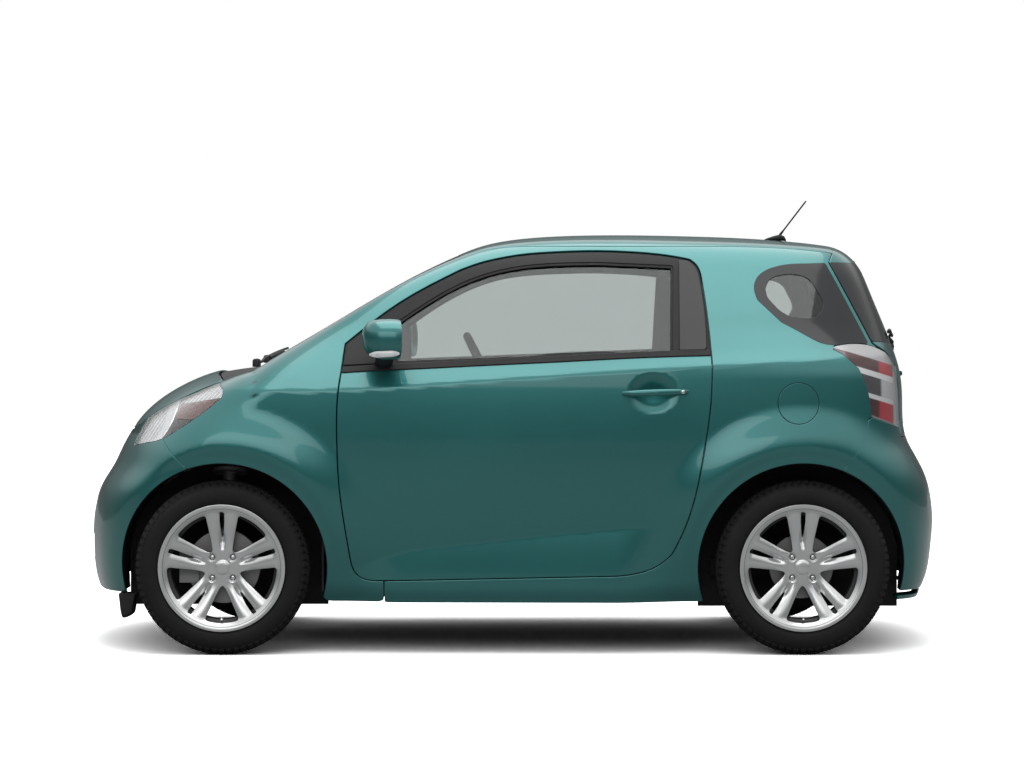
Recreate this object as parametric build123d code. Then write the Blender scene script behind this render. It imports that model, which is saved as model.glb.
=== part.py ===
from build123d import *
import math
import os
import numpy as np

# City car, three doors. Millimetres. +Z up, the nose points along -Y, the car's left side is +X.
# The origin is on the ground, in the middle of the car's length and width.

# Driving dimensions
WHEELBASE = 2000
BODY_WIDTH = 1652
ROOF_HEIGHT = 1466
TRACK = 1470

TYRE_RADIUS = 300
TYRE_WIDTH = 176
BEAD_RADIUS = 203
FLANGE_RADIUS = 218
BARREL_WALL = 9
DISC_RADIUS = 126
DISC_THICKNESS = 18
HUB_RADIUS = 66
STUB_RADIUS = 20
ARCH_GAP = 62

SKIN = 3
DOOR_DEPTH = 84
FRAME_DEPTH = 38
PILLAR_DEPTH = 62
ROOF_DEPTH = 26
BONNET_DEPTH = 22
TAILGATE_DEPTH = 44
BUMPER_WALL = 5
GLASS = 4
PANEL_GAP = 8
LID_GAP = 7
BONNET_GAP = 10
LAMP_SHUT_GAP = 25
SEAT_GAP = 0.3

DOOR_HINGE_BACK = 70
DOOR_HINGE_IN = 20
HINGE_PIN = 4
HINGE_BARREL = 8
HINGE_HEIGHT = 20
HINGE_CLEARANCE = 0.1

FLOOR_HEIGHT = 200
FLOOR_THICKNESS = 12
REAR_FLOOR_HEIGHT = 346
STEERING_WHEEL_RADIUS = 184
FUEL_LID_RADIUS = 70
FUEL_HINGE_PART = 8
FUEL_PIN = 1.2
FUEL_BARREL = 2.4

# How far this car is stretched from the proportions that the outlines are drawn in
LONG = WHEELBASE / 2000
WIDE = BODY_WIDTH / 1652
TALL = ROOF_HEIGHT / 1466
AXLE_Y = WHEELBASE / 2
WHEEL_X = TRACK / 2
ARCH_RADIUS = TYRE_RADIUS + ARCH_GAP

os.makedirs("parts", exist_ok=True)


def write(name, shape):
    export_step(shape, "parts/" + name + ".step")


def pair(shape):
    """The shape and its mirror image on the other side of the car."""
    return Compound(children=[shape, mirror(shape, about=Plane.YZ)])


# The outer skin, as the level of a smooth function


class Curve:
    """A natural cubic spline through points, carried on straight beyond its ends."""

    def __init__(self, *points):
        self.at, self.value = np.array(points, float).T
        count = len(points)
        step = np.diff(self.at)
        matrix = np.eye(count)
        right = np.zeros(count)
        for i in range(1, count - 1):
            matrix[i, i - 1:i + 2] = step[i - 1], 2 * (step[i - 1] + step[i]), step[i]
            slopes = np.diff(self.value[i - 1:i + 2]) / step[i - 1:i + 1]
            right[i] = 6 * (slopes[1] - slopes[0])
        self.bend = np.linalg.solve(matrix, right)
        first, last = step[0], step[-1]
        self.start = (self.value[1] - self.value[0]) / first - first * self.bend[1] / 6
        self.end = (self.value[-1] - self.value[-2]) / last + last * self.bend[-2] / 6

    def __call__(self, t):
        t = np.asarray(t, float)
        inside = np.clip(t, self.at[0], self.at[-1])
        i = np.clip(np.searchsorted(self.at, inside) - 1, 0, len(self.at) - 2)
        step = self.at[i + 1] - self.at[i]
        a = (self.at[i + 1] - inside) / step
        b = 1 - a
        cubic = (a**3 - a) * self.bend[i] + (b**3 - b) * self.bend[i + 1]
        value = a * self.value[i] + b * self.value[i + 1] + cubic * step**2 / 6
        value = value + np.minimum(t - self.at[0], 0) * self.start
        return value + np.maximum(t - self.at[-1], 0) * self.end


BONNET_LINE = Curve((-1440, 795), (-1385, 838), (-1333, 875), (-1260, 913), (-1160, 949), (-1067, 973),
                    (-960, 990), (-880, 998))
SCREEN_LINE = Curve((-890, 1003), (-790, 1059), (-600, 1170), (-413, 1283), (-280, 1354), (-193, 1394),
                    (-119, 1423), (-46, 1441), (60, 1455), (220, 1464), (420, 1466), (640, 1462),
                    (850, 1454), (1000, 1443), (1149, 1425), (1280, 1400))
SCREEN_BASE = -888
TOP_CROWN = Curve((-1450, 70), (-1200, 60), (-1040, 42), (-900, 16), (-780, 10), (-400, 14), (-150, 30),
                  (200, 44), (900, 44), (1200, 40), (1400, 40))
NOSE_LINE = Curve((150, -1470), (200, -1500), (260, -1517), (340, -1525), (430, -1525), (506, -1514),
                  (560, -1496), (605, -1470), (640, -1450), (700, -1428), (770, -1403), (830, -1374),
                  (880, -1335), (1000, -1200))
TAIL_LINE = Curve((150, 1462), (190, 1476), (240, 1497), (310, 1512), (370, 1520), (430, 1525), (500, 1521),
                  (565, 1508), (602, 1496), (640, 1478), (680, 1456), (715, 1437), (757, 1423), (879, 1415),
                  (980, 1404), (1046, 1384), (1194, 1325), (1323, 1272), (1450, 1222))
CREASE_LINE = Curve((-1000, 915), (-600, 912), (-450, 920), (0, 950), (650, 992), (1150, 1022))
BELT_LINE = Curve((-1000, 955), (-600, 974), (0, 1003), (400, 1022), (680, 1034), (1150, 1052))
VALLEY_LINE = Curve((-600, 280), (-489, 318), (-386, 350), (-215, 375), (0, 398), (301, 428), (600, 450))
EDGE_ROUND = Curve((-1500, 170), (-1100, 160), (-950, 135), (-780, 100), (-640, 75), (0, 70), (1000, 70),
                   (1300, 90), (1500, 110))
PLAN_TUCK = Curve((-1500, 150), (-1400, 92), (-1300, 52), (-1200, 28), (-1100, 14), (-950, 4), (-700, 0),
                  (0, 0), (700, 0), (950, 3), (1100, 10), (1200, 22), (1300, 46), (1400, 84), (1500, 140))


def smooth_max(a, b, radius):
    h = np.clip(0.5 + 0.5 * (a - b) / radius, 0, 1)
    return b + (a - b) * h + radius * h * (1 - h)


def bend(t, radius):
    """Zero below t = 0 and t above it, with a rounded corner."""
    return np.where(t > radius, t, np.where(t < -radius, 0, (t + radius)**2 / (4 * radius)))


def ramp(t, start, end):
    u = np.clip((t - start) / (end - start), 0, 1)
    return u * u * (3 - 2 * u)


def flare(y, z):
    """How far the wheel arches swell the side."""
    total = 0
    for wheel_y in (-1000, 1000):
        radius = np.hypot(y - wheel_y, z - 308)
        lift = 8 + 24 * ramp((z - 308) / np.maximum(radius, 1), -0.1, 0.9)
        total = total + lift * (1 - ramp(radius, 405, 560)) - lift * 0.375 * ramp(-radius, -412, -364)
    return total


def side_x(y, z):
    low = 826 - (z - 730)**2 / np.where(z < 730, 3300, 4300)
    scallop = 0.3 * ramp(y, -620, -380) * (1 - ramp(y, 350, 640))
    x = low + scallop * bend(VALLEY_LINE(y) - z, 6)
    x = x - 0.5 * bend(z - CREASE_LINE(y), 7) + 0.16 * bend(z - BELT_LINE(y), 20)
    x = x - (y - 250)**2 / 20000 * ramp(z, 950, 1150) - 0.35 * bend(225 - z, 20)
    return x - PLAN_TUCK(y) + flare(y, z)


def top_z(x, y):
    return np.where(y < SCREEN_BASE, BONNET_LINE(y), SCREEN_LINE(y)) - TOP_CROWN(y) * (x / 600)**2


def skin_level(points):
    """Below zero inside the body and above zero outside it."""
    x = np.abs(points[..., 0]) / WIDE
    y = points[..., 1] / LONG
    z = points[..., 2] / TALL
    side = x - side_x(y, z)
    top = (z - top_z(x, y)) * 0.93
    nose = (NOSE_LINE(z) + x**2 / 3600 - y) * 0.95
    tail = (y - TAIL_LINE(z) + x**2 / 5200) * 0.97
    shoulder = smooth_max(side, top, EDGE_ROUND(y))
    corner = np.where(y < 0, 170, 150 - 60 * ramp(z, 950, 1150))
    return smooth_max(shoulder, np.where(y < 0, nose, tail), corner)


def on_skin(starts, directions):
    """The points where rays from inside the body meet its skin."""
    near = np.zeros(starts.shape[:-1])
    far = np.full(starts.shape[:-1], 2600.0 * max(LONG, WIDE, TALL))
    for _ in range(44):
        middle = (near + far) / 2
        inside = skin_level(starts + directions * middle[..., None]) < 0
        near = np.where(inside, middle, near)
        far = np.where(inside, far, middle)
    return starts + directions * ((near + far) / 2)[..., None]


def outward(points):
    slopes = []
    for axis in np.eye(3):
        slopes.append(skin_level(points + axis / 2) - skin_level(points - axis / 2))
    normal = np.stack(slopes, -1)
    return normal / np.linalg.norm(normal, axis=-1, keepdims=True)


def girth(front, rear, low, high, height=600, step=80, turn=6):
    """Skin points on rays that fan out from the middle line, station by station."""
    y, angle = np.meshgrid(np.linspace(front, rear, math.ceil((rear - front) / step) + 1),
                           np.radians(np.arange(low, high + turn / 2, turn)), indexing="ij")
    zero = np.zeros_like(y)
    starts = np.stack([zero, y * LONG, zero + height * TALL], -1)
    return on_skin(starts, np.stack([np.cos(angle) * WIDE, zero, np.sin(angle) * TALL], -1)), starts


def around(centre_y, first, last, low, high, turn=8, step=70):
    """Skin points on level rays that fan out around an end of the car, 0 degrees straight out."""
    angle, z = np.meshgrid(np.radians(np.arange(first, last + turn / 2, turn)),
                           np.linspace(low, high, math.ceil((high - low) / step) + 1), indexing="ij")
    zero = np.zeros_like(z)
    end = math.copysign(1, centre_y)
    starts = np.stack([zero, zero + centre_y * LONG, z * TALL], -1)
    return on_skin(starts, np.stack([np.sin(angle) * WIDE, end * np.cos(angle) * LONG, zero], -1)), starts


def dome(centre, first, last, low, high, turn=8):
    """Skin points on rays that fan out from one point, round and up, 0 degrees along the car."""
    angle, rise = np.meshgrid(np.radians(np.arange(first, last + turn / 2, turn)),
                              np.radians(np.arange(low, high + turn / 2, turn)), indexing="ij")
    zero = np.zeros_like(angle)
    end = math.copysign(1, centre[1])
    starts = np.stack([zero + centre[0] * WIDE, zero + centre[1] * LONG, zero + centre[2] * TALL], -1)
    across = np.sin(angle) * np.cos(rise) * WIDE
    along = end * np.cos(angle) * np.cos(rise) * LONG
    return on_skin(starts, np.stack([across, along, np.sin(rise) * TALL], -1)), starts


def triangle(*corners):
    return Face(Wire.make_polygon([Vector(*corner) for corner in corners], close=True))


def slab(patch, outside, inside):
    """A faceted curved plate between two distances from the skin, halfway between normal and ray."""
    points, starts = patch
    rays = points - starts
    lean = outward(points) + rays / np.linalg.norm(rays, axis=-1, keepdims=True)
    lean = lean / np.linalg.norm(lean, axis=-1, keepdims=True)
    outer = (points + lean * outside).tolist()
    inner = (points - lean * inside).tolist()
    rows, columns = points.shape[:2]
    faces = []
    for i in range(rows - 1):
        for j in range(columns - 1):
            for grid in (outer, inner):
                faces.append(triangle(grid[i][j], grid[i + 1][j], grid[i + 1][j + 1]))
                faces.append(triangle(grid[i][j], grid[i + 1][j + 1], grid[i][j + 1]))
    rim = [(i, 0) for i in range(rows)] + [(rows - 1, j) for j in range(1, columns)]
    rim += [(i, columns - 1) for i in range(rows - 2, -1, -1)] + [(0, j) for j in range(columns - 2, 0, -1)]
    for (i, j), (k, m) in zip(rim, rim[1:] + rim[:1]):
        faces.append(triangle(outer[i][j], inner[i][j], inner[k][m]))
        faces.append(triangle(outer[i][j], inner[k][m], outer[k][m]))
    solid = Solid(Shell(faces))
    return solid if solid.volume > 0 else -solid


# Outlines. Each is a closed loop of runs: one point makes a line and more make a smooth curve.


def loop(scale, runs, parts=2):
    """The corners of an outline, with each curve cut into short chords."""
    corners = []
    last = runs[-1][-1]
    for run in runs:
        if len(run) == 1:
            corners.append(run[0])
        else:
            points = np.array([last, *run], float)
            along = np.concatenate([[0], np.cumsum(np.hypot(*np.diff(points, axis=0).T))])
            spots = np.interp(np.arange(1, parts * len(run) + 1) / parts, np.arange(len(along)), along)
            across, up = (Curve(*zip(along, points[:, i]))(spots) for i in (0, 1))
            corners.extend(zip(across, up))
        last = run[-1]
    return np.array(corners, float) * scale


def grown(corners, amount):
    """The outline moved outwards by an amount, or inwards by a negative one."""
    ahead = np.roll(corners, -1, axis=0) - corners
    ahead = ahead / np.linalg.norm(ahead, axis=1, keepdims=True)
    behind = np.roll(ahead, 1, axis=0)
    area = np.sum(corners[:, 0] * np.roll(corners[:, 1], -1) - np.roll(corners[:, 0], -1) * corners[:, 1])
    out = (ahead + behind)[:, ::-1] * [1, -1] * math.copysign(1, area)
    square = np.linalg.norm(out, axis=1, keepdims=True)
    return corners + out / square * amount * 2 / np.maximum(square, 0.9)


def side_face(*runs):
    return loop((LONG, TALL), runs)


def plan_face(*runs):
    return loop((WIDE, LONG), runs)


def under(corners):
    """The side outline pushed outwards from the middle of the car."""
    face = make_face(Polyline(*[(0, y, z) for y, z in corners.tolist()], close=True))
    return extrude(face, amount=1300 * WIDE, dir=(1, 0, 0))


def from_above(corners, low=500, high=1700):
    """The plan outline pushed upwards between two heights."""
    face = make_face(Polyline(*[(x, y, low * TALL) for x, y in corners.tolist()], close=True))
    return extrude(face, amount=(high - low) * TALL, dir=(0, 0, 1))


def ybox(x, y, z):
    """A box from three (start, end) spans."""
    size = [span[1] - span[0] for span in (x, y, z)]
    centre = [(span[1] + span[0]) / 2 for span in (x, y, z)]
    return Pos(*centre) * Box(*size)


def rod(start, end, radius):
    start = Vector(*start)
    line = Vector(*end) - start
    return Solid.make_cylinder(radius, line.length, Plane(start, z_dir=line))


DOOR = side_face([(-601, 878), (-603, 775), (-596, 603), (-582, 483), (-558, 328)],
                 [(-545, 287), (-517, 262), (-472, 254)],
                 [(301, 271)],
                 [(438, 283), (507, 311), (548, 345)],
                 [(589, 431), (631, 569), (658, 706), (682, 878), (687, 988)],
                 [(672, 1189), (659, 1293)],
                 [(645, 1342), (620, 1365)],
                 [(571, 1375), (445, 1390), (306, 1396), (131, 1391), (26, 1382), (-44, 1370), (-114, 1353),
                  (-183, 1328)],
                 [(-393, 1213), (-579, 1070)],
                 [(-589, 981)])
WINDOW = side_face([(-390, 1008)], [(-390, 1155)], [(-182, 1283), (-43, 1331), (130, 1354), (304, 1358)],
                   [(560, 1346)], [(552, 1042)])
QUARTER_WINDOW = side_face([(853, 1222)], [(842, 1258), (851, 1298), (905, 1336), (1038, 1352)],
                           [(1098, 1354)], [(1236, 1070)], [(1177, 1074)], [(1079, 1070), (1003, 1107), (933, 1145)])
HEADLAMP = side_face([(-1332, 712)], [(-1315, 761), (-1280, 820), (-1245, 863), (-1185, 898), (-1097, 926)],
                     [(-1034, 943)], [(-1009, 926), (-999, 905), (-1006, 880)],
                     [(-1045, 848), (-1115, 799), (-1185, 754)], [(-1227, 736), (-1273, 726)])
TAIL_LAMP = side_face([(1093, 1059)], [(1142, 1068), (1212, 1070), (1254, 1061), (1299, 1042)],
                      [(1344, 997)], [(1355, 892), (1360, 777)], [(1240, 817)],
                      [(1233, 875), (1219, 927), (1194, 986)], [(1135, 1038)])
TAILGATE = side_face([(1140, 1600)], [(1140, 1412)], [(1112, 1356)], [(1252, 1072)], [(1300, 1045)],
                     [(1347, 999)], [(1358, 892)], [(1363, 745)], [(1700, 745)], [(1700, 1600)])
BODY_SIDE = side_face([(-440, 180)], [(-440, 300)], [(-560, 900)], [(-575, 1040)], [(-585, 1080)],
                      [(-640, 1130)], [(-700, 1600)], [(1500, 1600)], [(1500, 180)])
FENDER = side_face([(-1209, 742)], [(-1178, 700), (-1115, 641)], [(-1000, 500)], [(-640, 180)], [(-446, 180)],
                   [(-446, 280)], [(-560, 900)], [(-575, 1040)], [(-585, 1080)], [(-640, 1130)],
                   [(-700, 1600)], [(-1700, 1600)], [(-1700, 742)])
NOSE = side_face([(-1209.5, 741.5)], [(-1178.5, 699.5), (-1115.5, 640.5)], [(-1000, 500)], [(-1340, 180)],
                 [(-1700, 180)], [(-1700, 1600)], [(-1209.5, 1600)])
REAR_BUMPER = side_face([(1226, 819)], [(1223, 774), (1198, 722), (1170, 677), (1141, 641)], [(1000, 500)],
                        [(1300, 190)], [(1700, 190)], [(1700, 741)], [(1363, 741)], [(1361, 777)],
                        [(1317, 790)])
BONNET = plan_face([(612, -1012)], [(575, -1130), (500, -1245), (400, -1322)],
                   [(250, -1362), (0, -1381), (-250, -1362), (-400, -1322)],
                   [(-500, -1245), (-575, -1130), (-612, -1012)], [(-300, -1056), (0, -1068), (300, -1056)])
SCREEN = plan_face([(655, -850)], [(610, -560), (500, -186)],
                   [(250, -196), (0, -200), (-250, -196), (-500, -186)],
                   [(-610, -560), (-655, -850)], [(-330, -878), (0, -888), (330, -878)])
ROOF = plan_face([(500, -185.5)], [(532, 200), (532, 700), (508, 1132)], [(-508, 1132)],
                 [(-532, 700), (-532, 200), (-500, -185.5)], [(-250, -195.5), (0, -199.5), (250, -195.5)])
COWL = plan_face([(640, -1007)], [(672, -845)], [(330, -873), (0, -883), (-330, -873), (-672, -845)],
                 [(-640, -1007)], [(-300, -1048), (0, -1060), (300, -1048)])


def largest(shape):
    return max(shape.solids(), key=lambda piece: piece.volume)


def wheel_cylinder(wheel_y, radius, start, end):
    return rod((start, wheel_y, TYRE_RADIUS), (end, wheel_y, TYRE_RADIUS), radius)


def arch_room(wheel_y):
    return wheel_cylinder(wheel_y, ARCH_RADIUS, 300, 1100)


# Doors: an outer skin, a deep lower box behind it and a shallow window frame

DOOR_HINGE_X = 826 * WIDE - DOOR_HINGE_IN
DOOR_HINGE_Y = -603 * LONG + DOOR_HINGE_BACK
DOOR_BOX_FRONT = DOOR_HINGE_Y + 26
DOOR_HINGES = (590 * TALL, 830 * TALL)
DOOR_BELT = 1030 * TALL
HINGE_POST = ((650 * WIDE, 738 * WIDE), (DOOR_HINGE_Y - 120, DOOR_HINGE_Y + 12), (251 * TALL, 930 * TALL))


def upright(x, y, low, high, radius):
    return rod((x, y, low), (x, y, high), radius)


DOOR_PATCH = girth(-690, 760, -33, 66)


def door():
    core = under(grown(DOOR, -28)) - ybox((0, 2000), (-2000, DOOR_BOX_FRONT), (0, 960 * TALL))
    edge = slab(girth(-700, 790, -34, 68), -SKIN, DOOR_DEPTH + 50) & (under(grown(DOOR, 15)) - core)
    deep = slab(girth(-700, 790, 20, 68), -FRAME_DEPTH, DOOR_DEPTH + 50)
    frame_back = deep & ybox((0, 1000), (-900, 900), (DOOR_BELT, 1600 * TALL))
    panel = slab(DOOR_PATCH, 0, DOOR_DEPTH) & under(DOOR)
    panel = largest(panel - under(WINDOW) - frame_back - edge)
    for z in DOOR_HINGES:
        panel = panel + door_leaf(z)
    return panel


def door_leaf(z):
    """Two eyes on a pin, above and below the pillar's barrel, with a strap back to the door's box."""
    leaf = upright(DOOR_HINGE_X, DOOR_HINGE_Y, z - HINGE_HEIGHT, z + HINGE_HEIGHT, HINGE_PIN)
    for low in (z - HINGE_HEIGHT, z + HINGE_HEIGHT / 2 + SEAT_GAP):
        high = low + HINGE_HEIGHT / 2 - SEAT_GAP
        leaf += upright(DOOR_HINGE_X, DOOR_HINGE_Y, low, high, HINGE_BARREL)
        leaf += ybox((DOOR_HINGE_X - HINGE_BARREL, DOOR_HINGE_X + HINGE_BARREL - 2),
                     (DOOR_HINGE_Y, DOOR_BOX_FRONT + 2), (low, high))
    return leaf


def pillar_barrel(z):
    """The body's half of a door hinge: a barrel round the pin, on an arm from the hinge pillar."""
    low = z - HINGE_HEIGHT / 2
    high = z + HINGE_HEIGHT / 2
    barrel = upright(DOOR_HINGE_X, DOOR_HINGE_Y, low, high, HINGE_BARREL)
    barrel += ybox((HINGE_POST[0][1] - 1, DOOR_HINGE_X), (DOOR_HINGE_Y - 5, DOOR_HINGE_Y + 5), (low, high))
    return barrel - upright(DOOR_HINGE_X, DOOR_HINGE_Y, low - 1, high + 1, HINGE_PIN + HINGE_CLEARANCE)


def door_glass():
    return largest(slab(girth(-480, 640, 18, 66), -FRAME_DEPTH / 2, FRAME_DEPTH / 2 + GLASS)
                   & under(grown(WINDOW, -SEAT_GAP)))


def door_handle():
    x = 834 * WIDE
    bar = ybox((x, x + 18), (372 * LONG, 606 * LONG), (884 * TALL, 908 * TALL))
    for y in (390 * LONG, 560 * LONG):
        bar += ybox((800 * WIDE, x + 4), (y, y + 30), (886 * TALL, 906 * TALL))
    return bar - slab(DOOR_PATCH, SEAT_GAP, DOOR_DEPTH)


def door_mirror():
    shell = Pos(880 * WIDE, -445 * LONG, 1086 * TALL) * Box(164, 120, 140)
    shell = fillet(shell.edges(), 34)
    foot = ybox((752 * WIDE, 820 * WIDE), (-465 * LONG, -401 * LONG), (975 * TALL, 1040 * TALL))
    return largest(shell + foot - slab(DOOR_PATCH, SEAT_GAP, DOOR_DEPTH))


# Body side: pillars, roof rail, sill and rear quarter in one pressing, with the hinge pillar behind

FUEL_Y = 983 * LONG
FUEL_Z = 866 * TALL
FUEL_HINGE_Y = FUEL_Y - FUEL_LID_RADIUS - LID_GAP / 2
FUEL_HINGE_X = 818 * WIDE


def fuel_disc(radius, start, end):
    return rod((start, FUEL_Y, FUEL_Z), (end, FUEL_Y, FUEL_Z), radius)


def body_side():
    patch = girth(-920, 1400, -33, 78)
    wall = slab(patch, 0, PILLAR_DEPTH) & under(BODY_SIDE)
    wall = wall - from_above(grown(SCREEN, SEAT_GAP)) - from_above(grown(ROOF, SEAT_GAP))
    wall = wall - under(grown(TAILGATE, PANEL_GAP)) - under(grown(REAR_BUMPER, SEAT_GAP))
    wall = wall - under(grown(TAIL_LAMP, SEAT_GAP))
    rabbet = slab(girth(-700, 790, -35, 72), 8, FRAME_DEPTH + 8) & under(grown(DOOR, PANEL_GAP))
    wall = wall - rabbet - under(grown(DOOR, -20))
    wall = wall - (under(grown(DOOR, PANEL_GAP)) & ybox((0, 1100), (-900, -380 * LONG), (0, 960 * TALL)))
    wall = wall - under(grown(QUARTER_WINDOW, -12)) - arch_room(AXLE_Y)
    glass_seat = slab(girth(780, 1320, 18, 60), 8, GLASS + SEAT_GAP)
    wall = wall - (glass_seat & under(grown(QUARTER_WINDOW, SEAT_GAP)))
    wall = largest(wall - ybox((0, 720 * WIDE), (-660 * LONG, 645 * LONG), (0, FLOOR_HEIGHT)))
    sill = ybox((650 * WIDE, 718 * WIDE), (HINGE_POST[1][0], 640 * LONG), (FLOOR_HEIGHT, 252 * TALL))
    foot = ybox((700 * WIDE, 745 * WIDE), (-436 * LONG, 600 * LONG), (205 * TALL, 240 * TALL))
    shelf = ybox((650 * WIDE, 722 * WIDE), (HINGE_POST[1][0], -590 * LONG), (900 * TALL, 1040 * TALL))
    wall = wall + ybox(*HINGE_POST) + sill + foot + shelf
    for z in DOOR_HINGES:
        wall = wall + pillar_barrel(z)
    return wall


def body_side_with_filler():
    wall = body_side() - fuel_disc(FUEL_LID_RADIUS + LID_GAP, 764 * WIDE, 1000 * WIDE)
    return wall + fuel_hinge()[1]


def fuel_lid():
    lid = slab(girth(860, 1100, 0, 40), 0, SKIN) & fuel_disc(FUEL_LID_RADIUS, 600, 1000)
    return largest(lid) + fuel_hinge()[0]


def quarter_glass():
    return largest(slab(girth(780, 1320, 18, 60), -1, GLASS) & under(QUARTER_WINDOW))


def fender():
    patch = girth(-1330, -420, -35, 84)
    wing = slab(patch, 0, SKIN + 1) & under(FENDER)
    wing = wing - from_above(grown(BONNET, BONNET_GAP)) - from_above(grown(COWL, SEAT_GAP))
    wing = wing - from_above(grown(SCREEN, SEAT_GAP))
    wing = wing - under(grown(DOOR, PANEL_GAP)) - under(grown(HEADLAMP, SEAT_GAP)) - arch_room(-AXLE_Y)
    return largest(wing)


def headlamp():
    patch = dome((250, -1000, 600), 0, 110, 0, 64)
    lamp = slab(patch, 0, 60) & under(HEADLAMP)
    behind_bonnet = ybox((0, 624 * WIDE), (-1165 * LONG, -980 * LONG), (600, 1100 * TALL))
    lamp = lamp - (slab(patch, -8, 90) & behind_bonnet)
    return largest(lamp - from_above(grown(BONNET, LAMP_SHUT_GAP)) - arch_room(-AXLE_Y))


def tail_lamp():
    lamp = slab(around(900, 20, 100, 740, 1110), 0, 50) & under(TAIL_LAMP)
    return largest(lamp - under(grown(TAILGATE, PANEL_GAP)))


def front_bumper():
    shell = slab(dome((0, -900, 500), -96, 96, -34, 60), 0, BUMPER_WALL)
    half = shell & under(NOSE)
    half = half - from_above(grown(BONNET, LAMP_SHUT_GAP)) - under(grown(HEADLAMP, SEAT_GAP))
    half = largest(half - arch_room(-AXLE_Y))
    grille = ybox((-10, 330 * WIDE), (-1700, -1200), (300 * TALL, 400 * TALL))
    half = half - grille
    return half + mirror(half, about=Plane.YZ)


def rear_bumper():
    shell = slab(dome((0, 900, 500), -96, 96, -34, 40), 0, BUMPER_WALL)
    half = shell & under(REAR_BUMPER)
    half = largest(half - arch_room(AXLE_Y))
    return half + mirror(half, about=Plane.YZ)


def bonnet():
    lid = slab(dome((0, -900, 500), -96, 96, 16, 80), 0, BONNET_DEPTH) & from_above(BONNET)
    rim = from_above(grown(BONNET, 15)) - from_above(grown(BONNET, -40))
    lid = largest(lid - (slab(dome((0, -900, 500), -96, 96, 12, 84), -SKIN, BONNET_DEPTH + 40) & rim))
    x, y, z = BONNET_HINGE
    for side in (-x, x):
        lid = lid - ybox((side - 13, side + 13), (y - 25, y + 35), (z - 60, z + 10))
        lid = lid + lid_hinge((side, y, z), ((y - 5, y + 5), (z, z + 8)), ((y - 5, y + 5), (z - 60, z)))[0]
    return lid


def windscreen():
    return largest(slab(girth(-930, -120, 30, 150), 0, GLASS + 2) & from_above(SCREEN))


def roof():
    panel = largest(slab(girth(-240, 1190, 38, 142), 0, ROOF_DEPTH) & from_above(ROOF))
    header = ybox((-440 * WIDE, 440 * WIDE), (1060 * LONG, 1100 * LONG), (1335 * TALL, 1406 * TALL))
    panel = panel + header
    x, y, z = TAILGATE_HINGE
    for side in (-x, x):
        arm = ((y - 5, y + 5), (z - 66, z))
        panel = panel + lid_hinge((side, y, z), arm, arm)[1]
        panel = panel + ybox((side - 7, side + 7), (1099 * LONG, y + 5), (z - 66, z - 54))
    return panel


def tailgate():
    whole = slab(dome((0, 700, 700), -88, 88, -16, 64, turn=6), 0, TAILGATE_DEPTH)
    half = whole & under(TAILGATE)
    half = largest(half)
    gate = half + mirror(half, about=Plane.YZ)
    gate = gate - tailgate_opening(0)
    gate = gate - ybox((-512 * WIDE, 512 * WIDE), (900 * LONG, 1140 * LONG), (1200, 1600 * TALL))
    x, y, z = TAILGATE_HINGE
    for side in (-x, x):
        gate = gate - ybox((side - 13, side + 13), (y - 100, y + 25), (z - 90, z + 10))
        gate = gate + lid_hinge((side, y, z), ((y - 5, y + 5), (z - 6, z + 8)), ((y, y + 5), (z - 60, z)))[0]
    return gate


def tailgate_opening(inset):
    return ybox((-500 * WIDE + inset, 500 * WIDE - inset), (1200 * LONG, 1700 * LONG),
                (1066 * TALL + inset, 1330 * TALL - inset))


def tailgate_glass():
    pane = slab(dome((0, 700, 700), -52, 52, 16, 56, turn=6), -2, GLASS + 2)
    return largest(pane & tailgate_opening(SEAT_GAP))


# Hinges of the lids, each a barrel round a pin, with its axis along the direction given


def lid_hinge(centre, moving_arm, fixed_arm, width=14):
    """The lid's half, two eyes and a pin, and the body's half, a barrel, of a hinge along X."""
    x, y, z = centre
    moving = rod((x - 1.5 * width, y, z), (x + 1.5 * width, y, z), HINGE_PIN)
    for start in (x - 1.5 * width, x + width / 2 + SEAT_GAP):
        moving += rod((start, y, z), (start + width - SEAT_GAP, y, z), HINGE_BARREL)
        moving += ybox((start, start + width - SEAT_GAP), *moving_arm)
    fixed = rod((x - width / 2, y, z), (x + width / 2, y, z), HINGE_BARREL)
    fixed += ybox((x - width / 2, x + width / 2), *fixed_arm)
    return moving, fixed - rod((x - width, y, z), (x + width, y, z), HINGE_PIN + HINGE_CLEARANCE)


BONNET_HINGE = (150 * WIDE, -1068 * LONG - 45, 958 * TALL - 12)
TAILGATE_HINGE = (150 * WIDE, 1140 * LONG + 45, 1416 * TALL - 12)


def fuel_hinge():
    """The lid's eyes and pin, and the barrel on the body, upright in the gap at the lid's front edge."""
    x = FUEL_HINGE_X
    part = FUEL_HINGE_PART
    moving = upright(x, FUEL_HINGE_Y, FUEL_Z - 1.5 * part, FUEL_Z + 1.5 * part, FUEL_PIN)
    for low in (FUEL_Z - 1.5 * part, FUEL_Z + part / 2 + SEAT_GAP):
        high = low + part - SEAT_GAP
        moving += upright(x, FUEL_HINGE_Y, low, high, FUEL_BARREL)
        moving += ybox((x - 1, x + 1), (FUEL_HINGE_Y, FUEL_HINGE_Y + LID_GAP), (low, high))
    fixed = upright(x, FUEL_HINGE_Y, FUEL_Z - part / 2, FUEL_Z + part / 2, FUEL_BARREL)
    fixed += ybox((x - 1, x + 1), (FUEL_HINGE_Y - LID_GAP, FUEL_HINGE_Y),
                  (FUEL_Z - part / 2, FUEL_Z + part / 2))
    return moving, fixed - upright(x, FUEL_HINGE_Y, FUEL_Z - part, FUEL_Z + part, FUEL_PIN + HINGE_CLEARANCE)


# Floor, bulkhead and the parts bolted under them

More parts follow.
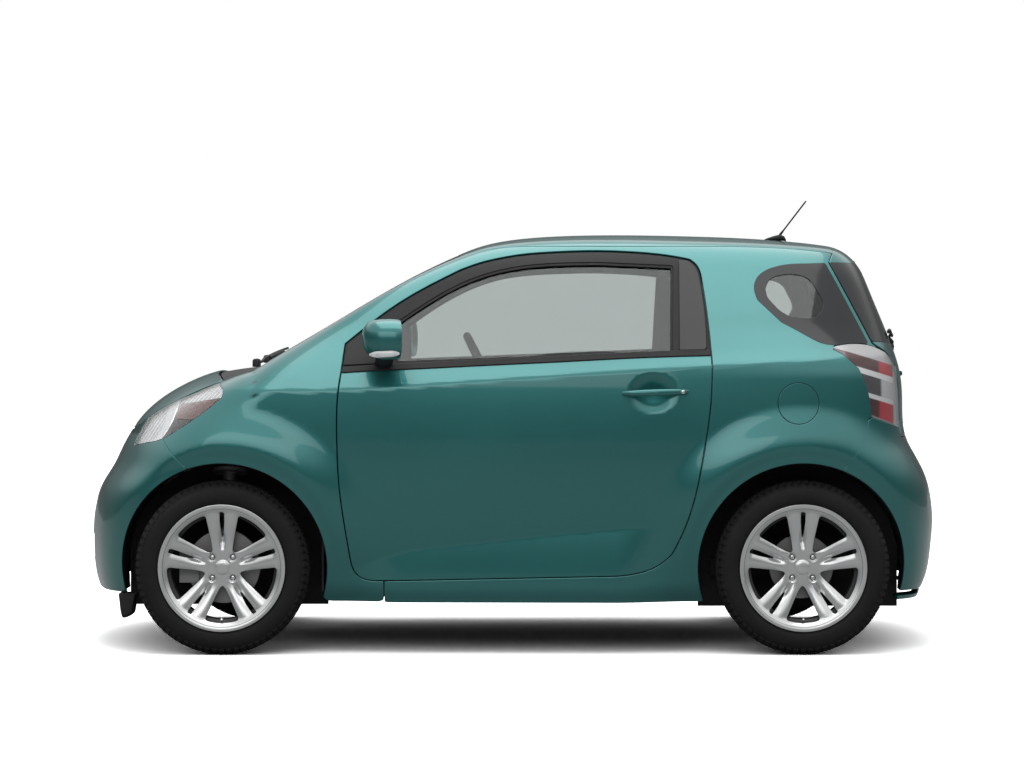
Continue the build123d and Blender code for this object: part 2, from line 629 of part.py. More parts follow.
RAIL_X = 455 * WIDE
ARM_HEIGHT = 176
BALL_JOINT = (WHEEL_X - 47, -AXLE_Y, ARM_HEIGHT + 14)
STRUT_TOP = (WHEEL_X - 175, -AXLE_Y + 15, 770 * TALL)
REAR_ARCH_IN = 545 * WIDE
HEEL_Y = 640 * LONG


def floor_pan():
    low, high = FLOOR_HEIGHT, FLOOR_HEIGHT + FLOOR_THICKNESS
    front = -650 * LONG
    back = 1385 * LONG
    pan = ybox((-649.7 * WIDE, 649.7 * WIDE), (front, HEEL_Y), (low, high))
    pan += ybox((-REAR_ARCH_IN, REAR_ARCH_IN), (HEEL_Y - 12, HEEL_Y), (low, REAR_FLOOR_HEIGHT))
    boot_floor = (REAR_FLOOR_HEIGHT, REAR_FLOOR_HEIGHT + FLOOR_THICKNESS)
    pan += ybox((-REAR_ARCH_IN, REAR_ARCH_IN), (HEEL_Y - 12, back), boot_floor)
    pan += ybox((-70, 70), (front, HEEL_Y - 12), (high - 1, high + 90))
    for side in (-1, 1):
        for x in (170 * WIDE, 520 * WIDE):
            pan += ybox((side * x - 20, side * x + 20), (40 * LONG, 500 * LONG), (high - 1, 330 * TALL))
        wall = ybox((REAR_ARCH_IN - 8, REAR_ARCH_IN), (AXLE_Y - 300, AXLE_Y + 330 * LONG),
                    (REAR_FLOOR_HEIGHT, 700 * TALL))
        pan += wall if side > 0 else mirror(wall, about=Plane.YZ)
    return pan


def firewall():
    back = HINGE_POST[1][0] - SEAT_GAP
    plate = ybox((-RAIL_X, RAIL_X), (-700 * LONG, -690 * LONG), (215, 880 * TALL))
    plate += ybox((-RAIL_X, RAIL_X), (-700 * LONG, -650.3 * LONG), (205, 215))
    plate += ybox((-645 * WIDE, 645 * WIDE), (-700 * LONG, -690 * LONG), (640 * TALL, 880 * TALL))
    for side in (-1, 1):
        panel = ybox((RAIL_X - 10, RAIL_X), (-691 * LONG, back), (215, 640 * TALL))
        panel += ybox((RAIL_X - 10, 645 * WIDE), (back - 10, back), (215, 650 * TALL))
        panel += ybox((RAIL_X - 10, 645 * WIDE), (-691 * LONG, back), (640 * TALL, 650 * TALL))
        plate += panel if side > 0 else mirror(panel, about=Plane.YZ)
    plate += ybox((-560 * WIDE, 560 * WIDE), (-1010 * LONG, -690 * LONG), (846 * TALL, 856 * TALL))
    plate += ybox((-RAIL_X, RAIL_X), (-1140 * LONG, -1000 * LONG), (834 * TALL, 847 * TALL))
    x, y, z = BONNET_HINGE
    for side in (-x, x):
        arm = ((y - 5, y + 5), (846 * TALL, z))
        plate += lid_hinge((side, y, z), arm, arm)[1]
    return plate


def cowl():
    shell = slab(girth(-1080, -820, 36, 144), -4, 10) & from_above(COWL)
    shell = largest(shell - from_above(grown(SCREEN, SEAT_GAP)) - from_above(grown(BONNET, BONNET_GAP)))
    for x in (-300, 300):
        shell += ybox((x - 15, x + 15), (-960 * LONG, -930 * LONG), (856.3 * TALL, 962 * TALL))
    return shell


def front_frame():
    frame = ybox((-RAIL_X, RAIL_X), (-1380 * LONG, -1350 * LONG), (420 * TALL, 520 * TALL))
    for side in (-1, 1):
        rail = ybox((RAIL_X - 55, RAIL_X), (-1351 * LONG, -700.3 * LONG), (440 * TALL, 520 * TALL))
        rail += ybox((RAIL_X - 12, RAIL_X), (-1130 * LONG, -700.3 * LONG), (519 * TALL, 833 * TALL))
        rail += ybox((RAIL_X - 1, 660 * WIDE), (-1100 * LONG, -880 * LONG), (STRUT_TOP[2], STRUT_TOP[2] + 10))
        rail += ybox((RAIL_X - 55, RAIL_X - 15), (-1010 * LONG, -930 * LONG), (ARM_HEIGHT + 40, 441 * TALL))
        frame += rail if side > 0 else mirror(rail, about=Plane.YZ)
    frame += ybox((-RAIL_X + 16, RAIL_X - 16), (-1010 * LONG, -930 * LONG), (ARM_HEIGHT, ARM_HEIGHT + 41))
    frame += rod((-400 * WIDE, -900 * LONG, 262), (400 * WIDE, -900 * LONG, 262), 22)
    frame += ybox((-60, 60), (-931 * LONG, -899 * LONG), (200, 250))
    for side in (-1, 1):
        x = BALL_JOINT[0]
        arm = ybox((RAIL_X - 80, x + 12), (-AXLE_Y - 18, -AXLE_Y + 18), (ARM_HEIGHT - 12, ARM_HEIGHT + 2))
        arm += upright(x, -AXLE_Y, ARM_HEIGHT, ARM_HEIGHT + 21.3, 6)
        frame += arm if side > 0 else mirror(arm, about=Plane.YZ)
    return frame


def radiator():
    return ybox((-310 * WIDE, 310 * WIDE), (-1350 * LONG + SEAT_GAP, -1300 * LONG), (250 * TALL, 620 * TALL))


def engine():
    half = RAIL_X - 55 - SEAT_GAP
    return ybox((-half, half), (-1250 * LONG, -860 * LONG), (300, 790 * TALL))


def rear_axle():
    stub_start = WHEEL_X - 60
    beam = rod((-560 * WIDE, 900 * LONG, 290), (560 * WIDE, 900 * LONG, 290), 34)
    for side in (-1, 1):
        arm = ybox((552 * WIDE, 592 * WIDE), (690 * LONG, AXLE_Y + 60), (260, 320))
        arm += rod((580 * WIDE, AXLE_Y, TYRE_RADIUS), (stub_start, AXLE_Y, TYRE_RADIUS), 48)
        arm += rod((stub_start - 1, AXLE_Y, TYRE_RADIUS), (WHEEL_X + 8, AXLE_Y, TYRE_RADIUS), STUB_RADIUS)
        arm += ybox((500 * WIDE, 560 * WIDE), (690 * LONG, 740 * LONG), (270, REAR_FLOOR_HEIGHT - SEAT_GAP))
        beam += arm if side > 0 else mirror(arm, about=Plane.YZ)
    return beam


def fuel_tank():
    return ybox((-330 * WIDE, 330 * WIDE), (650 * LONG, 850 * LONG), (225, REAR_FLOOR_HEIGHT - SEAT_GAP))


def exhaust():
    muffler = ybox((-470 * WIDE, -120 * WIDE), (1130 * LONG, 1300 * LONG),
                   (215, REAR_FLOOR_HEIGHT - SEAT_GAP))
    muffler = fillet(muffler.edges().filter_by(Axis.X), 40)
    return muffler + rod((-400 * WIDE, 1290 * LONG, 265), (-400 * WIDE, 1440 * LONG, 262), 20)


def rear_panel():
    plate = ybox((-560 * WIDE, 560 * WIDE), (1385.3 * LONG, 1396 * LONG), (300, 655 * TALL))
    beam = ybox((-440 * WIDE, 440 * WIDE), (1395 * LONG, 1425 * LONG), (430 * TALL, 530 * TALL))
    return plate + beam


def knuckle():
    """Upright, strut, caliper and stub of one steered wheel, on the line from ball joint to strut top."""
    x, y, z = BALL_JOINT
    upright_box = ybox((x - 26, x + 6), (y - 26, y + 26), (z + 8 + SEAT_GAP, TYRE_RADIUS + 130))
    body = upright_box
    body += rod((x - 6, y, TYRE_RADIUS), (x + 14, y, TYRE_RADIUS), 52)
    body += rod((x + 13, y, TYRE_RADIUS), (WHEEL_X + 8, y, TYRE_RADIUS), STUB_RADIUS)
    axis = Vector(*STRUT_TOP) - Vector(*BALL_JOINT)
    low = Vector(*BALL_JOINT) + axis * 0.36
    middle = Vector(*BALL_JOINT) + axis * 0.78
    top = Vector(*BALL_JOINT) + axis * 0.995
    body += rod(low, middle, 23)
    body += rod(low, top, 11)
    body += rod((Vector(*BALL_JOINT) + axis * 0.74), (Vector(*BALL_JOINT) + axis * 0.76), 62)
    caliper = ybox((WHEEL_X - 46, WHEEL_X + 1), (y - 152, y - 84), (TYRE_RADIUS - 55, TYRE_RADIUS + 55))
    slot = wheel_cylinder(y, DISC_RADIUS + 6, WHEEL_X - 32, WHEEL_X - 2)
    bridge = ybox((x - 20, WHEEL_X - 38), (y - 90, y - 20), (TYRE_RADIUS - 30, TYRE_RADIUS + 30))
    return body + (caliper - slot) + bridge


def rim(wheel_y, disc_radius):
    """Barrel, flanges, five twin spokes, hub and the brake disc behind, about the wheel's axis."""
    back = WHEEL_X - TYRE_WIDTH / 2 + 2
    front = WHEEL_X + TYRE_WIDTH / 2 - 2
    ring = wheel_cylinder(wheel_y, BEAD_RADIUS, back, front)
    for start in (back, front - 8):
        ring += wheel_cylinder(wheel_y, FLANGE_RADIUS, start, start + 8)
    ring -= wheel_cylinder(wheel_y, BEAD_RADIUS - BARREL_WALL, back - 1, front + 1)
    hub = wheel_cylinder(wheel_y, HUB_RADIUS, WHEEL_X + 10, WHEEL_X + 42)
    spoke = ybox((WHEEL_X + 18, WHEEL_X + 44), (-48, 48), (HUB_RADIUS - 20, BEAD_RADIUS - BARREL_WALL + 1))
    spoke -= ybox((0, 2000), (-8, 8), (103, BEAD_RADIUS - BARREL_WALL - 2))
    for i in range(5):
        turned = Rotation(i * 72, 0, 0) * spoke
        ring += Pos(0, wheel_y, TYRE_RADIUS) * turned
    disc = wheel_cylinder(wheel_y, disc_radius, WHEEL_X - 26, WHEEL_X - 26 + DISC_THICKNESS)
    disc += wheel_cylinder(wheel_y, HUB_RADIUS - 4, WHEEL_X - 10, WHEEL_X + 11)
    return ring + hub + disc - wheel_cylinder(wheel_y, STUB_RADIUS + SEAT_GAP, WHEEL_X - 60, WHEEL_X + 9)


def tyre(wheel_y):
    half = TYRE_WIDTH / 2
    profile = [(-half + 12, BEAD_RADIUS), (-half + 11, FLANGE_RADIUS + 1), (-half, FLANGE_RADIUS + 22),
               (-half + 2, TYRE_RADIUS - 34), (-half + 14, TYRE_RADIUS - 9), (-half + 34, TYRE_RADIUS)]
    profile = profile + [(-x, radius) for x, radius in reversed(profile)]
    face = make_face(Polyline(*[(x, 0, radius) for x, radius in profile], close=True))
    return Pos(WHEEL_X, wheel_y, TYRE_RADIUS) * revolve(face, Axis.X, 360)


# Cabin

STEERING_CENTRE = (360 * WIDE, -85 * LONG, 945 * TALL)
STEERING_LEAN = 27


def along_column(distance):
    lean = math.radians(STEERING_LEAN)
    x, y, z = STEERING_CENTRE
    return (x, y - distance * math.cos(lean), z - distance * math.sin(lean))


def steering_wheel():
    plane = Plane(STEERING_CENTRE, x_dir=(1, 0, 0),
                  z_dir=(0, math.cos(math.radians(STEERING_LEAN)), math.sin(math.radians(STEERING_LEAN))))
    grip = plane * Torus(STEERING_WHEEL_RADIUS - 14, 14)
    for angle in (0, 180, 270):
        bar = Pos(STEERING_WHEEL_RADIUS / 2, 0, -6) * Box(STEERING_WHEEL_RADIUS - 16, 30, 12)
        grip += plane * Rot(0, 0, angle) * bar
    grip += rod(along_column(-12), along_column(40), 58)
    return grip + rod(along_column(39), along_column(70), 16)


def dashboard():
    corners = [(-689.7, 652), (-689.7, 868), (-640, 985), (-470, 990), (-330, 950), (-290, 880), (-330, 700),
               (-480, 652)]
    outline = Polyline(*[(0, y * LONG, z * TALL) for y, z in corners], close=True)
    half_width = 600 * WIDE
    board = Pos(-half_width, 0, 0) * extrude(make_face(outline), amount=2 * half_width, dir=(1, 0, 0))
    return board + rod(along_column(70.3), along_column(330), 30)


def front_seat():
    x = (110 * WIDE, 580 * WIDE)
    cushion = ybox(x, (30 * LONG, 530 * LONG), (330.3 * TALL, 500 * TALL))
    cushion = fillet(cushion.edges(), 45)
    back = ybox((x[0] + 10, x[1] - 10), (0, 120), (0, 600 * TALL))
    back = Pos(0, 470 * LONG, 470 * TALL) * Rot(-18, 0, 0) * back
    back = fillet(back.edges(), 40)
    head = ybox((x[0] + 110, x[1] - 110), (0, 80), (-40, 190 * TALL))
    head = Pos(0, 655 * LONG, 1065 * TALL) * Rot(-14, 0, 0) * head
    return cushion + back + fillet(head.edges(), 30)


def rear_seat():
    bench = ybox((-520 * WIDE, 520 * WIDE), (HEEL_Y + 130, 1090 * LONG), (358.3, 520 * TALL))
    back = ybox((-520 * WIDE, 520 * WIDE), (1080 * LONG, 1180 * LONG), (358.3, 980 * TALL))
    return fillet(bench.edges(), 40) + fillet(back.edges(), 35)


def antenna():
    foot = Pos(0, 965 * LONG, 1460 * TALL) * Box(38, 80, 22)
    mast = rod((0, 985 * LONG, 1462 * TALL), (0, 1082 * LONG, 1594 * TALL), 3)
    return fillet(foot.edges().filter_by(Axis.Z), 14) + mast


PAIRS = {"body_side": body_side, "door_glass": door_glass, "door_handle": door_handle,
         "door_mirror": door_mirror, "knuckle": knuckle}
TOGETHER = {"front_fenders": fender, "headlamps": headlamp, "tail_lamps": tail_lamp,
            "quarter_glasses": quarter_glass, "front_seats": front_seat}
SINGLE = {"roof_panel": roof, "windscreen": windscreen, "front_bumper": front_bumper,
          "rear_bumper": rear_bumper, "cowl": cowl, "floor_pan": floor_pan, "front_frame": front_frame, "radiator": radiator,
          "engine": engine, "rear_axle": rear_axle, "fuel_tank": fuel_tank, "exhaust": exhaust,
          "rear_panel": rear_panel, "steering_wheel": steering_wheel, "dashboard": dashboard,
          "rear_seat": rear_seat, "antenna": antenna, "tailgate_glass": tailgate_glass}


def main():
    write("door_left", door())
    write("door_right", mirror(door(), about=Plane.YZ))
    for name, make in PAIRS.items():
        shape = make()
        write(name + "_right", mirror(shape, about=Plane.YZ))
        write(name + "_left", body_side_with_filler() if name == "body_side" else shape)
    for name, make in TOGETHER.items():
        write(name, pair(make()))
    for name, make in SINGLE.items():
        write(name, make())
    write("bonnet", bonnet())
    write("tailgate", tailgate())
    write("fuel_lid", fuel_lid())
    write("firewall", firewall())
    for end, wheel_y, disc in (("front", -AXLE_Y, DISC_RADIUS), ("rear", AXLE_Y, DISC_RADIUS - 16)):
        for part, shape in (("rim", rim(wheel_y, disc)), ("tyre", tyre(wheel_y))):
            write(part + "_" + end + "_left", shape)
            write(part + "_" + end + "_right", mirror(shape, about=Plane.YZ))


main()
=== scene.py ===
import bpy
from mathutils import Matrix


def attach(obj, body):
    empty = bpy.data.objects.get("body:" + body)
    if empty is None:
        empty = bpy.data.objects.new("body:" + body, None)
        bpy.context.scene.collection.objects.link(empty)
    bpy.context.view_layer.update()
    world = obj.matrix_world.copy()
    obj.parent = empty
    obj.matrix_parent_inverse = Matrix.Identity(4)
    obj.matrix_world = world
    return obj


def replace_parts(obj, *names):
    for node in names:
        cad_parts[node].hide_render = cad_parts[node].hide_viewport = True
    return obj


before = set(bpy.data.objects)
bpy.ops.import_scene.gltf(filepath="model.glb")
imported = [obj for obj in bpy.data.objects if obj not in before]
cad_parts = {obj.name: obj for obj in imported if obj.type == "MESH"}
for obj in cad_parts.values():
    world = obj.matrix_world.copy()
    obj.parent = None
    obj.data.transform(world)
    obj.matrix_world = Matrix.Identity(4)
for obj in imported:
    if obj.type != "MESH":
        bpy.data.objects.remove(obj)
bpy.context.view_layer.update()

import math

import bmesh
import bpy
import numpy as np
from mathutils import Vector

# Camera: level, twelve and a half metres to the car's left, with a long lens aimed at its middle.
lens = bpy.data.cameras.new("camera")
lens.sensor_width = 36
lens.lens = 119.7
lens.shift_x = -0.0005
lens.shift_y = -0.0475
lens.clip_end = 100
camera = bpy.data.objects.new("camera", lens)
camera.location = (12.515, 0, 1.1)
camera.rotation_euler = (math.pi / 2, 0, math.pi / 2)
scene = bpy.context.scene
scene.collection.objects.link(camera)
scene.camera = camera
scene.view_settings.view_transform = "Standard"


# Studio: a plain pale floor without an edge in sight, a white surround, and soft boxes above the car.
# The floor takes the car's shadow. Shader sums are written with the class that starts here.
class Signal:
    """One output socket in a material, which can be added, multiplied and mixed."""

    def __init__(self, tree, socket=None):
        self.tree = tree
        self.socket = socket

    def node(self, kind, settings=None, out=0, **inputs):
        """A new node: its settings first, then values or links for its sockets, by name or as _number."""
        made = self.tree.nodes.new("ShaderNode" + kind)
        for name, value in (settings or {}).items():
            if name == "stops":
                elements = made.color_ramp.elements
                while len(elements) < len(value):
                    elements.new(0.5)
                for element, (place, colour) in zip(elements, value):
                    element.position = place
                    element.color = (*colour, 1)
            else:
                setattr(made, name, value)
        for name, value in inputs.items():
            socket = made.inputs[int(name[1:]) if name[0] == "_" else name.replace("_", " ")]
            if isinstance(value, Signal):
                self.tree.links.new(value.socket, socket)
            else:
                socket.default_value = value
        return Signal(self.tree, made.outputs[out])

    def math(self, operation, a, b=0.0, c=0.0):
        return self.node("Math", {"operation": operation}, _0=a, _1=b, _2=c)

    def __add__(self, other):
        return self.math("ADD", self, other)

    def __radd__(self, other):
        return self.math("ADD", other, self)

    def __sub__(self, other):
        return self.math("SUBTRACT", self, other)

    def __rsub__(self, other):
        return self.math("SUBTRACT", other, self)

    def __mul__(self, other):
        return self.math("MULTIPLY", self, other)

    def __rmul__(self, other):
        return self.math("MULTIPLY", other, self)

    def __truediv__(self, other):
        return self.math("DIVIDE", self, other)

    def __pow__(self, other):
        return self.math("POWER", self, other)

    def mix(self, first, second):
        """The colour first where this signal is 0 and second where it is 1."""
        first, second = ((*c, 1) if isinstance(c, tuple) else c for c in (first, second))
        return self.node("Mix", {"data_type": "RGBA"}, 2, _0=self, _6=first, _7=second)

    def step(self, low, high, start=0.0, end=1.0):
        """Rises smoothly from start to end while this signal goes from low to high."""
        settings = {"interpolation_type": "SMOOTHSTEP"}
        return self.node("MapRange", settings, _0=self, _1=low, _2=high, _3=start, _4=end)

    def here(self, scale=(1, 1, 1), turn=(0, 0, 0)):
        """The object's own coordinates, in metres."""
        place = self.node("TexCoord", out=3)
        return self.node("Mapping", Vector=place, Scale=scale, Rotation=turn)

    def noise(self, scale, detail=2.0, stretch=(1, 1, 1)):
        return self.node("TexNoise", Vector=self.here(stretch), Scale=scale, Detail=detail)

    def bump(self, height, depth, strength=1.0):
        return self.node("Bump", Height=height, Distance=depth, Strength=strength)


def finish(name, colour, rough, metal=0.0, **fixed):
    """A new material with its constants on the shader, the shader, and a signal to build on."""
    made = bpy.data.materials.new(name)
    made.use_nodes = True
    shader = made.node_tree.nodes["Principled BSDF"]
    shader.inputs["Base Color"].default_value = (*colour, 1)
    shader.inputs["Roughness"].default_value = rough
    shader.inputs["Metallic"].default_value = metal
    for key, value in fixed.items():
        shader.inputs[key.replace("_", " ")].default_value = value
    return made, shader, Signal(made.node_tree)


def feed(shader, **signals):
    for key, signal in signals.items():
        signal.tree.links.new(signal.socket, shader.inputs[key.replace("_", " ")])


floor_mesh = bpy.data.meshes.new("floor")
floor_mesh.from_pydata([(-30, -30, 0), (30, -30, 0), (30, 30, 0), (-30, 30, 0)], [], [(0, 1, 2, 3)])
floor = bpy.data.objects.new("floor", floor_mesh)
scene.collection.objects.link(floor)
floor_paint, shader, s = finish("floor_paint", (0.5, 0.5, 0.5), 0.85, Specular_IOR_Level=0.1)
rays = s.node("LightPath", out=0)
speckle = s.noise(60.0, 3.0) * 0.02 + 0.97
feed(shader, Base_Color=rays.mix((0.27, 0.275, 0.275), (1.75, 1.75, 1.75)),
     Roughness=speckle)
floor_mesh.materials.append(floor_paint)

world = bpy.data.worlds.new("surround")
scene.world = world
world.use_nodes = True
sky = world.node_tree.nodes["Background"]
w = Signal(world.node_tree)
up = w.node("SeparateXYZ", out=2, Vector=w.node("TexCoord", out=0))
band = w.node("ValToRGB", {"stops": [(0.0, (0.26, 0.26, 0.26)), (0.46, (0.15, 0.155, 0.155)),
                                     (0.52, (0.08, 0.085, 0.085)), (0.60, (0.17, 0.175, 0.175)),
                                     (0.72, (1.0, 1.0, 1.0)), (1.0, (1.0, 1.0, 1.0))]},
              Fac=up * 0.5 + 0.5)
seen = w.node("LightPath", out=0)
through = w.node("LightPath", out=6)
clear = w.math("MAXIMUM", seen, through)
w.tree.links.new(clear.mix(band, (1.0, 1.0, 1.0)).socket, sky.inputs["Color"])


def soft_box(name, place, aim, size, watts):
    lamp = bpy.data.lights.new(name, "AREA")
    lamp.shape = "RECTANGLE"
    lamp.size, lamp.size_y = size
    lamp.energy = watts
    box = bpy.data.objects.new(name, lamp)
    box.location = place
    box.rotation_euler = (Vector(aim) - Vector(place)).to_track_quat("-Z", "Y").to_euler()
    scene.collection.objects.link(box)


soft_box("overhead", (0.5, 0, 5.5), (0, 0, 0), (4.5, 7), 190)
soft_box("side_fill", (7, -1.5, 3.2), (0, 0, 0.7), (5, 2.4), 45)


# Body side: one pressed steel panel with the pillars, roof rail and rear quarter, painted teal and
# welded to the sills. Every outer panel follows the same skin, which is the zero level of a smooth
# function in millimetres; a panel is a patch of it, trimmed to its outline and hemmed at the edge.
class Curve:
    """A natural cubic spline through points, carried on straight beyond its ends."""

    def __init__(self, *points):
        self.at, self.value = np.array(points, float).T
        step = np.diff(self.at)
        matrix = np.eye(len(points))
        right = np.zeros(len(points))
        for i in range(1, len(points) - 1):
            matrix[i, i - 1:i + 2] = step[i - 1], 2 * (step[i - 1] + step[i]), step[i]
            right[i] = 6 * np.diff(np.diff(self.value[i - 1:i + 2]) / step[i - 1:i + 1])[0]
        self.bend = np.linalg.solve(matrix, right)
        self.start = (self.value[1] - self.value[0]) / step[0] - step[0] * self.bend[1] / 6
        self.end = (self.value[-1] - self.value[-2]) / step[-1] + step[-1] * self.bend[-2] / 6

    def __call__(self, t):
        t = np.asarray(t, float)
        inside = np.clip(t, self.at[0], self.at[-1])
        i = np.clip(np.searchsorted(self.at, inside) - 1, 0, len(self.at) - 2)
        step = self.at[i + 1] - self.at[i]
        a = (self.at[i + 1] - inside) / step
        b = 1 - a
        cubic = (a**3 - a) * self.bend[i] + (b**3 - b) * self.bend[i + 1]
        value = a * self.value[i] + b * self.value[i + 1] + cubic * step**2 / 6
        value = value + np.minimum(t - self.at[0], 0) * self.start
        return value + np.maximum(t - self.at[-1], 0) * self.end


BONNET_LINE = Curve((-1440, 795), (-1385, 838), (-1333, 875), (-1260, 913), (-1160, 949), (-1067, 973),
                    (-960, 990), (-880, 998))
SCREEN_LINE = Curve((-890, 1003), (-790, 1059), (-600, 1170), (-413, 1283), (-280, 1354), (-193, 1394),
                    (-119, 1423), (-46, 1441), (60, 1455), (220, 1464), (420, 1466), (640, 1462),
                    (850, 1454), (1000, 1443), (1149, 1425), (1280, 1400))
TOP_CROWN = Curve((-1450, 70), (-1200, 60), (-1040, 42), (-900, 16), (-780, 10), (-400, 14), (-150, 30),
                  (200, 44), (900, 44), (1200, 40), (1400, 40))
NOSE_LINE = Curve((150, -1470), (200, -1500), (260, -1517), (340, -1525), (430, -1525), (506, -1514),
                  (560, -1496), (605, -1470), (640, -1450), (700, -1428), (770, -1403), (830, -1374),
                  (880, -1335), (1000, -1200))
TAIL_LINE = Curve((150, 1462), (190, 1476), (240, 1497), (310, 1512), (370, 1518.5), (430, 1523),
                  (500, 1519.5), (565, 1508), (602, 1496), (640, 1478), (680, 1456), (715, 1437), (757, 1423),
                  (879, 1415), (980, 1404), (1046, 1384), (1194, 1325), (1323, 1272), (1450, 1222))
CREASE_LINE = Curve((-1000, 915), (-600, 912), (-450, 920), (0, 950), (650, 992), (1150, 1022))
SHOULDER_LINE = Curve((-1000, 955), (-600, 974), (0, 1003), (400, 1022), (680, 1034), (1150, 1052))
VALLEY_LINE = Curve((-600, 280), (-489, 318), (-386, 350), (-215, 375), (0, 398), (301, 428), (600, 450))
EDGE_ROUND = Curve((-1500, 170), (-1100, 160), (-950, 135), (-780, 100), (-640, 75), (0, 70), (1000, 70),
                   (1300, 90), (1500, 110))
PLAN_TUCK = Curve((-1500, 150), (-1400, 92), (-1300, 52), (-1200, 28), (-1100, 14), (-950, 4), (-700, 0),
                  (0, 0), (700, 0), (950, 3), (1100, 10), (1200, 22), (1300, 46), (1400, 84), (1500, 140))


def smooth_max(a, b, radius):
    h = np.clip(0.5 + 0.5 * (a - b) / radius, 0, 1)
    return b + (a - b) * h + radius * h * (1 - h)


def fold(t, radius):
    """Zero below t = 0 and t above it, with a rounded corner."""
    return np.where(t > radius, t, np.where(t < -radius, 0, (t + radius)**2 / (4 * radius)))


def ramp(t, start, end):
    u = np.clip((t - start) / (end - start), 0, 1)
    return u * u * (3 - 2 * u)


def side_x(y, z):
    low = 826 - (z - 730)**2 / np.where(z < 730, 3300, 4300)
    scallop = 0.3 * ramp(y, -620, -380) * (1 - ramp(y, 350, 640))
    x = low + scallop * fold(VALLEY_LINE(y) - z, 6)
    x = x - 0.5 * fold(z - CREASE_LINE(y), 7) + 0.16 * fold(z - SHOULDER_LINE(y), 20)
    x = x - (y - 250)**2 / 20000 * ramp(z, 950, 1150) - 0.35 * fold(225 - z, 20) - PLAN_TUCK(y)
    x = x - 22 * np.clip(1 - ((y - 484) / 92)**2 - ((z - 902) / 74)**2, 0, 1)**2
    for wheel_y in (-1000, 1000):
        radius = np.hypot(y - wheel_y, z - 308)
        lift = 8 + 24 * ramp((z - 308) / np.maximum(radius, 1), -0.1, 0.9)
        x = x + lift * (1 - ramp(radius, 405, 560)) - lift * 0.375 * ramp(-radius, -412, -364)
    return x


def skin_level(points):
    """Below zero inside the body and above zero outside it."""
    x, y, z = np.abs(points[..., 0]), points[..., 1], points[..., 2]
    roof = np.where(y < -888, BONNET_LINE(y), SCREEN_LINE(y)) - TOP_CROWN(y) * (x / 600)**2
    shoulder = smooth_max(x - side_x(y, z), (z - roof) * 0.93, EDGE_ROUND(y))
    nose = (NOSE_LINE(z) + x**2 / 3600 - y) * 0.95
    tail = (y - TAIL_LINE(z) + x**2 / 5200) * 0.97
    corner = np.where(y < 0, 170, 150 - 60 * ramp(z, 950, 1150))
    return smooth_max(shoulder, np.where(y < 0, nose, tail), corner)


def outward(points):
    slopes = [skin_level(points + axis / 2) - skin_level(points - axis / 2) for axis in np.eye(3)]
    normal = np.stack(slopes, -1)
    return normal / np.linalg.norm(normal, axis=-1, keepdims=True)


def patch(swing, rise, across=0.45, up=0.8):
    """Skin points where rays meet it that fan out, round and up, from a line along the car's middle."""
    swing, rise = np.meshgrid(np.radians(np.arange(swing[0], swing[1] + across / 2, across)),
                              np.radians(np.arange(rise[0], rise[1] + up / 2, up)), indexing="ij")
    zero = np.zeros_like(swing)
    starts = np.stack([zero, 850 * np.sin(swing), zero + 520], -1)
    rays = np.stack([np.cos(rise) * np.cos(swing), np.cos(rise) * np.sin(swing), np.sin(rise)], -1)
    near, far = zero, zero + 2600
    for _ in range(13):
        middle = (near + far) / 2
        inside = skin_level(starts + rays * middle[..., None]) < 0
        near, far = np.where(inside, middle, near), np.where(inside, far, middle)
    low = skin_level(starts + rays * near[..., None])
    high = skin_level(starts + rays * far[..., None])
    points = starts + rays * (near + (far - near) * low / (low - high))[..., None]
    points[..., 0] = np.maximum(points[..., 0], 0)
    rows, columns = zero.shape
    first = (np.arange(rows - 1)[:, None] * columns + np.arange(columns - 1)).ravel()
    last = first + columns + 1
    faces = np.concatenate([np.stack([first, first + columns, last], 1),
                            np.stack([first, last, first + 1], 1)])
    return weld(points.reshape(-1, 3), faces)


def weld(points, faces):
    """Joins corners that coincide and drops faces with no area."""
    _, first, index = np.unique(np.round(points, 2), axis=0, return_index=True, return_inverse=True)
    faces = index.reshape(-1)[faces]
    good = (faces[:, 0] != faces[:, 1]) & (faces[:, 1] != faces[:, 2]) & (faces[:, 2] != faces[:, 0])
    faces = faces[good]
    used, faces = np.unique(faces, return_inverse=True)
    return points[first][used], faces.reshape(-1, 3)


def without_crumbs(points, faces):
    """The mesh without loose islands of fewer than one in fifty of its faces."""
    label = np.arange(len(points))
    while True:
        lowest = label[faces].min(1)
        fresh = label.copy()
        for i in range(3):
            np.minimum.at(fresh, faces[:, i], lowest)
        fresh = fresh[fresh]
        if (fresh == label).all():
            break
        label = fresh
    names, index, count = np.unique(label[faces[:, 0]], return_inverse=True, return_counts=True)
    used, faces = np.unique(faces[count[index] >= len(faces) / 50], return_inverse=True)
    return points[used], faces.reshape(-1, 3)


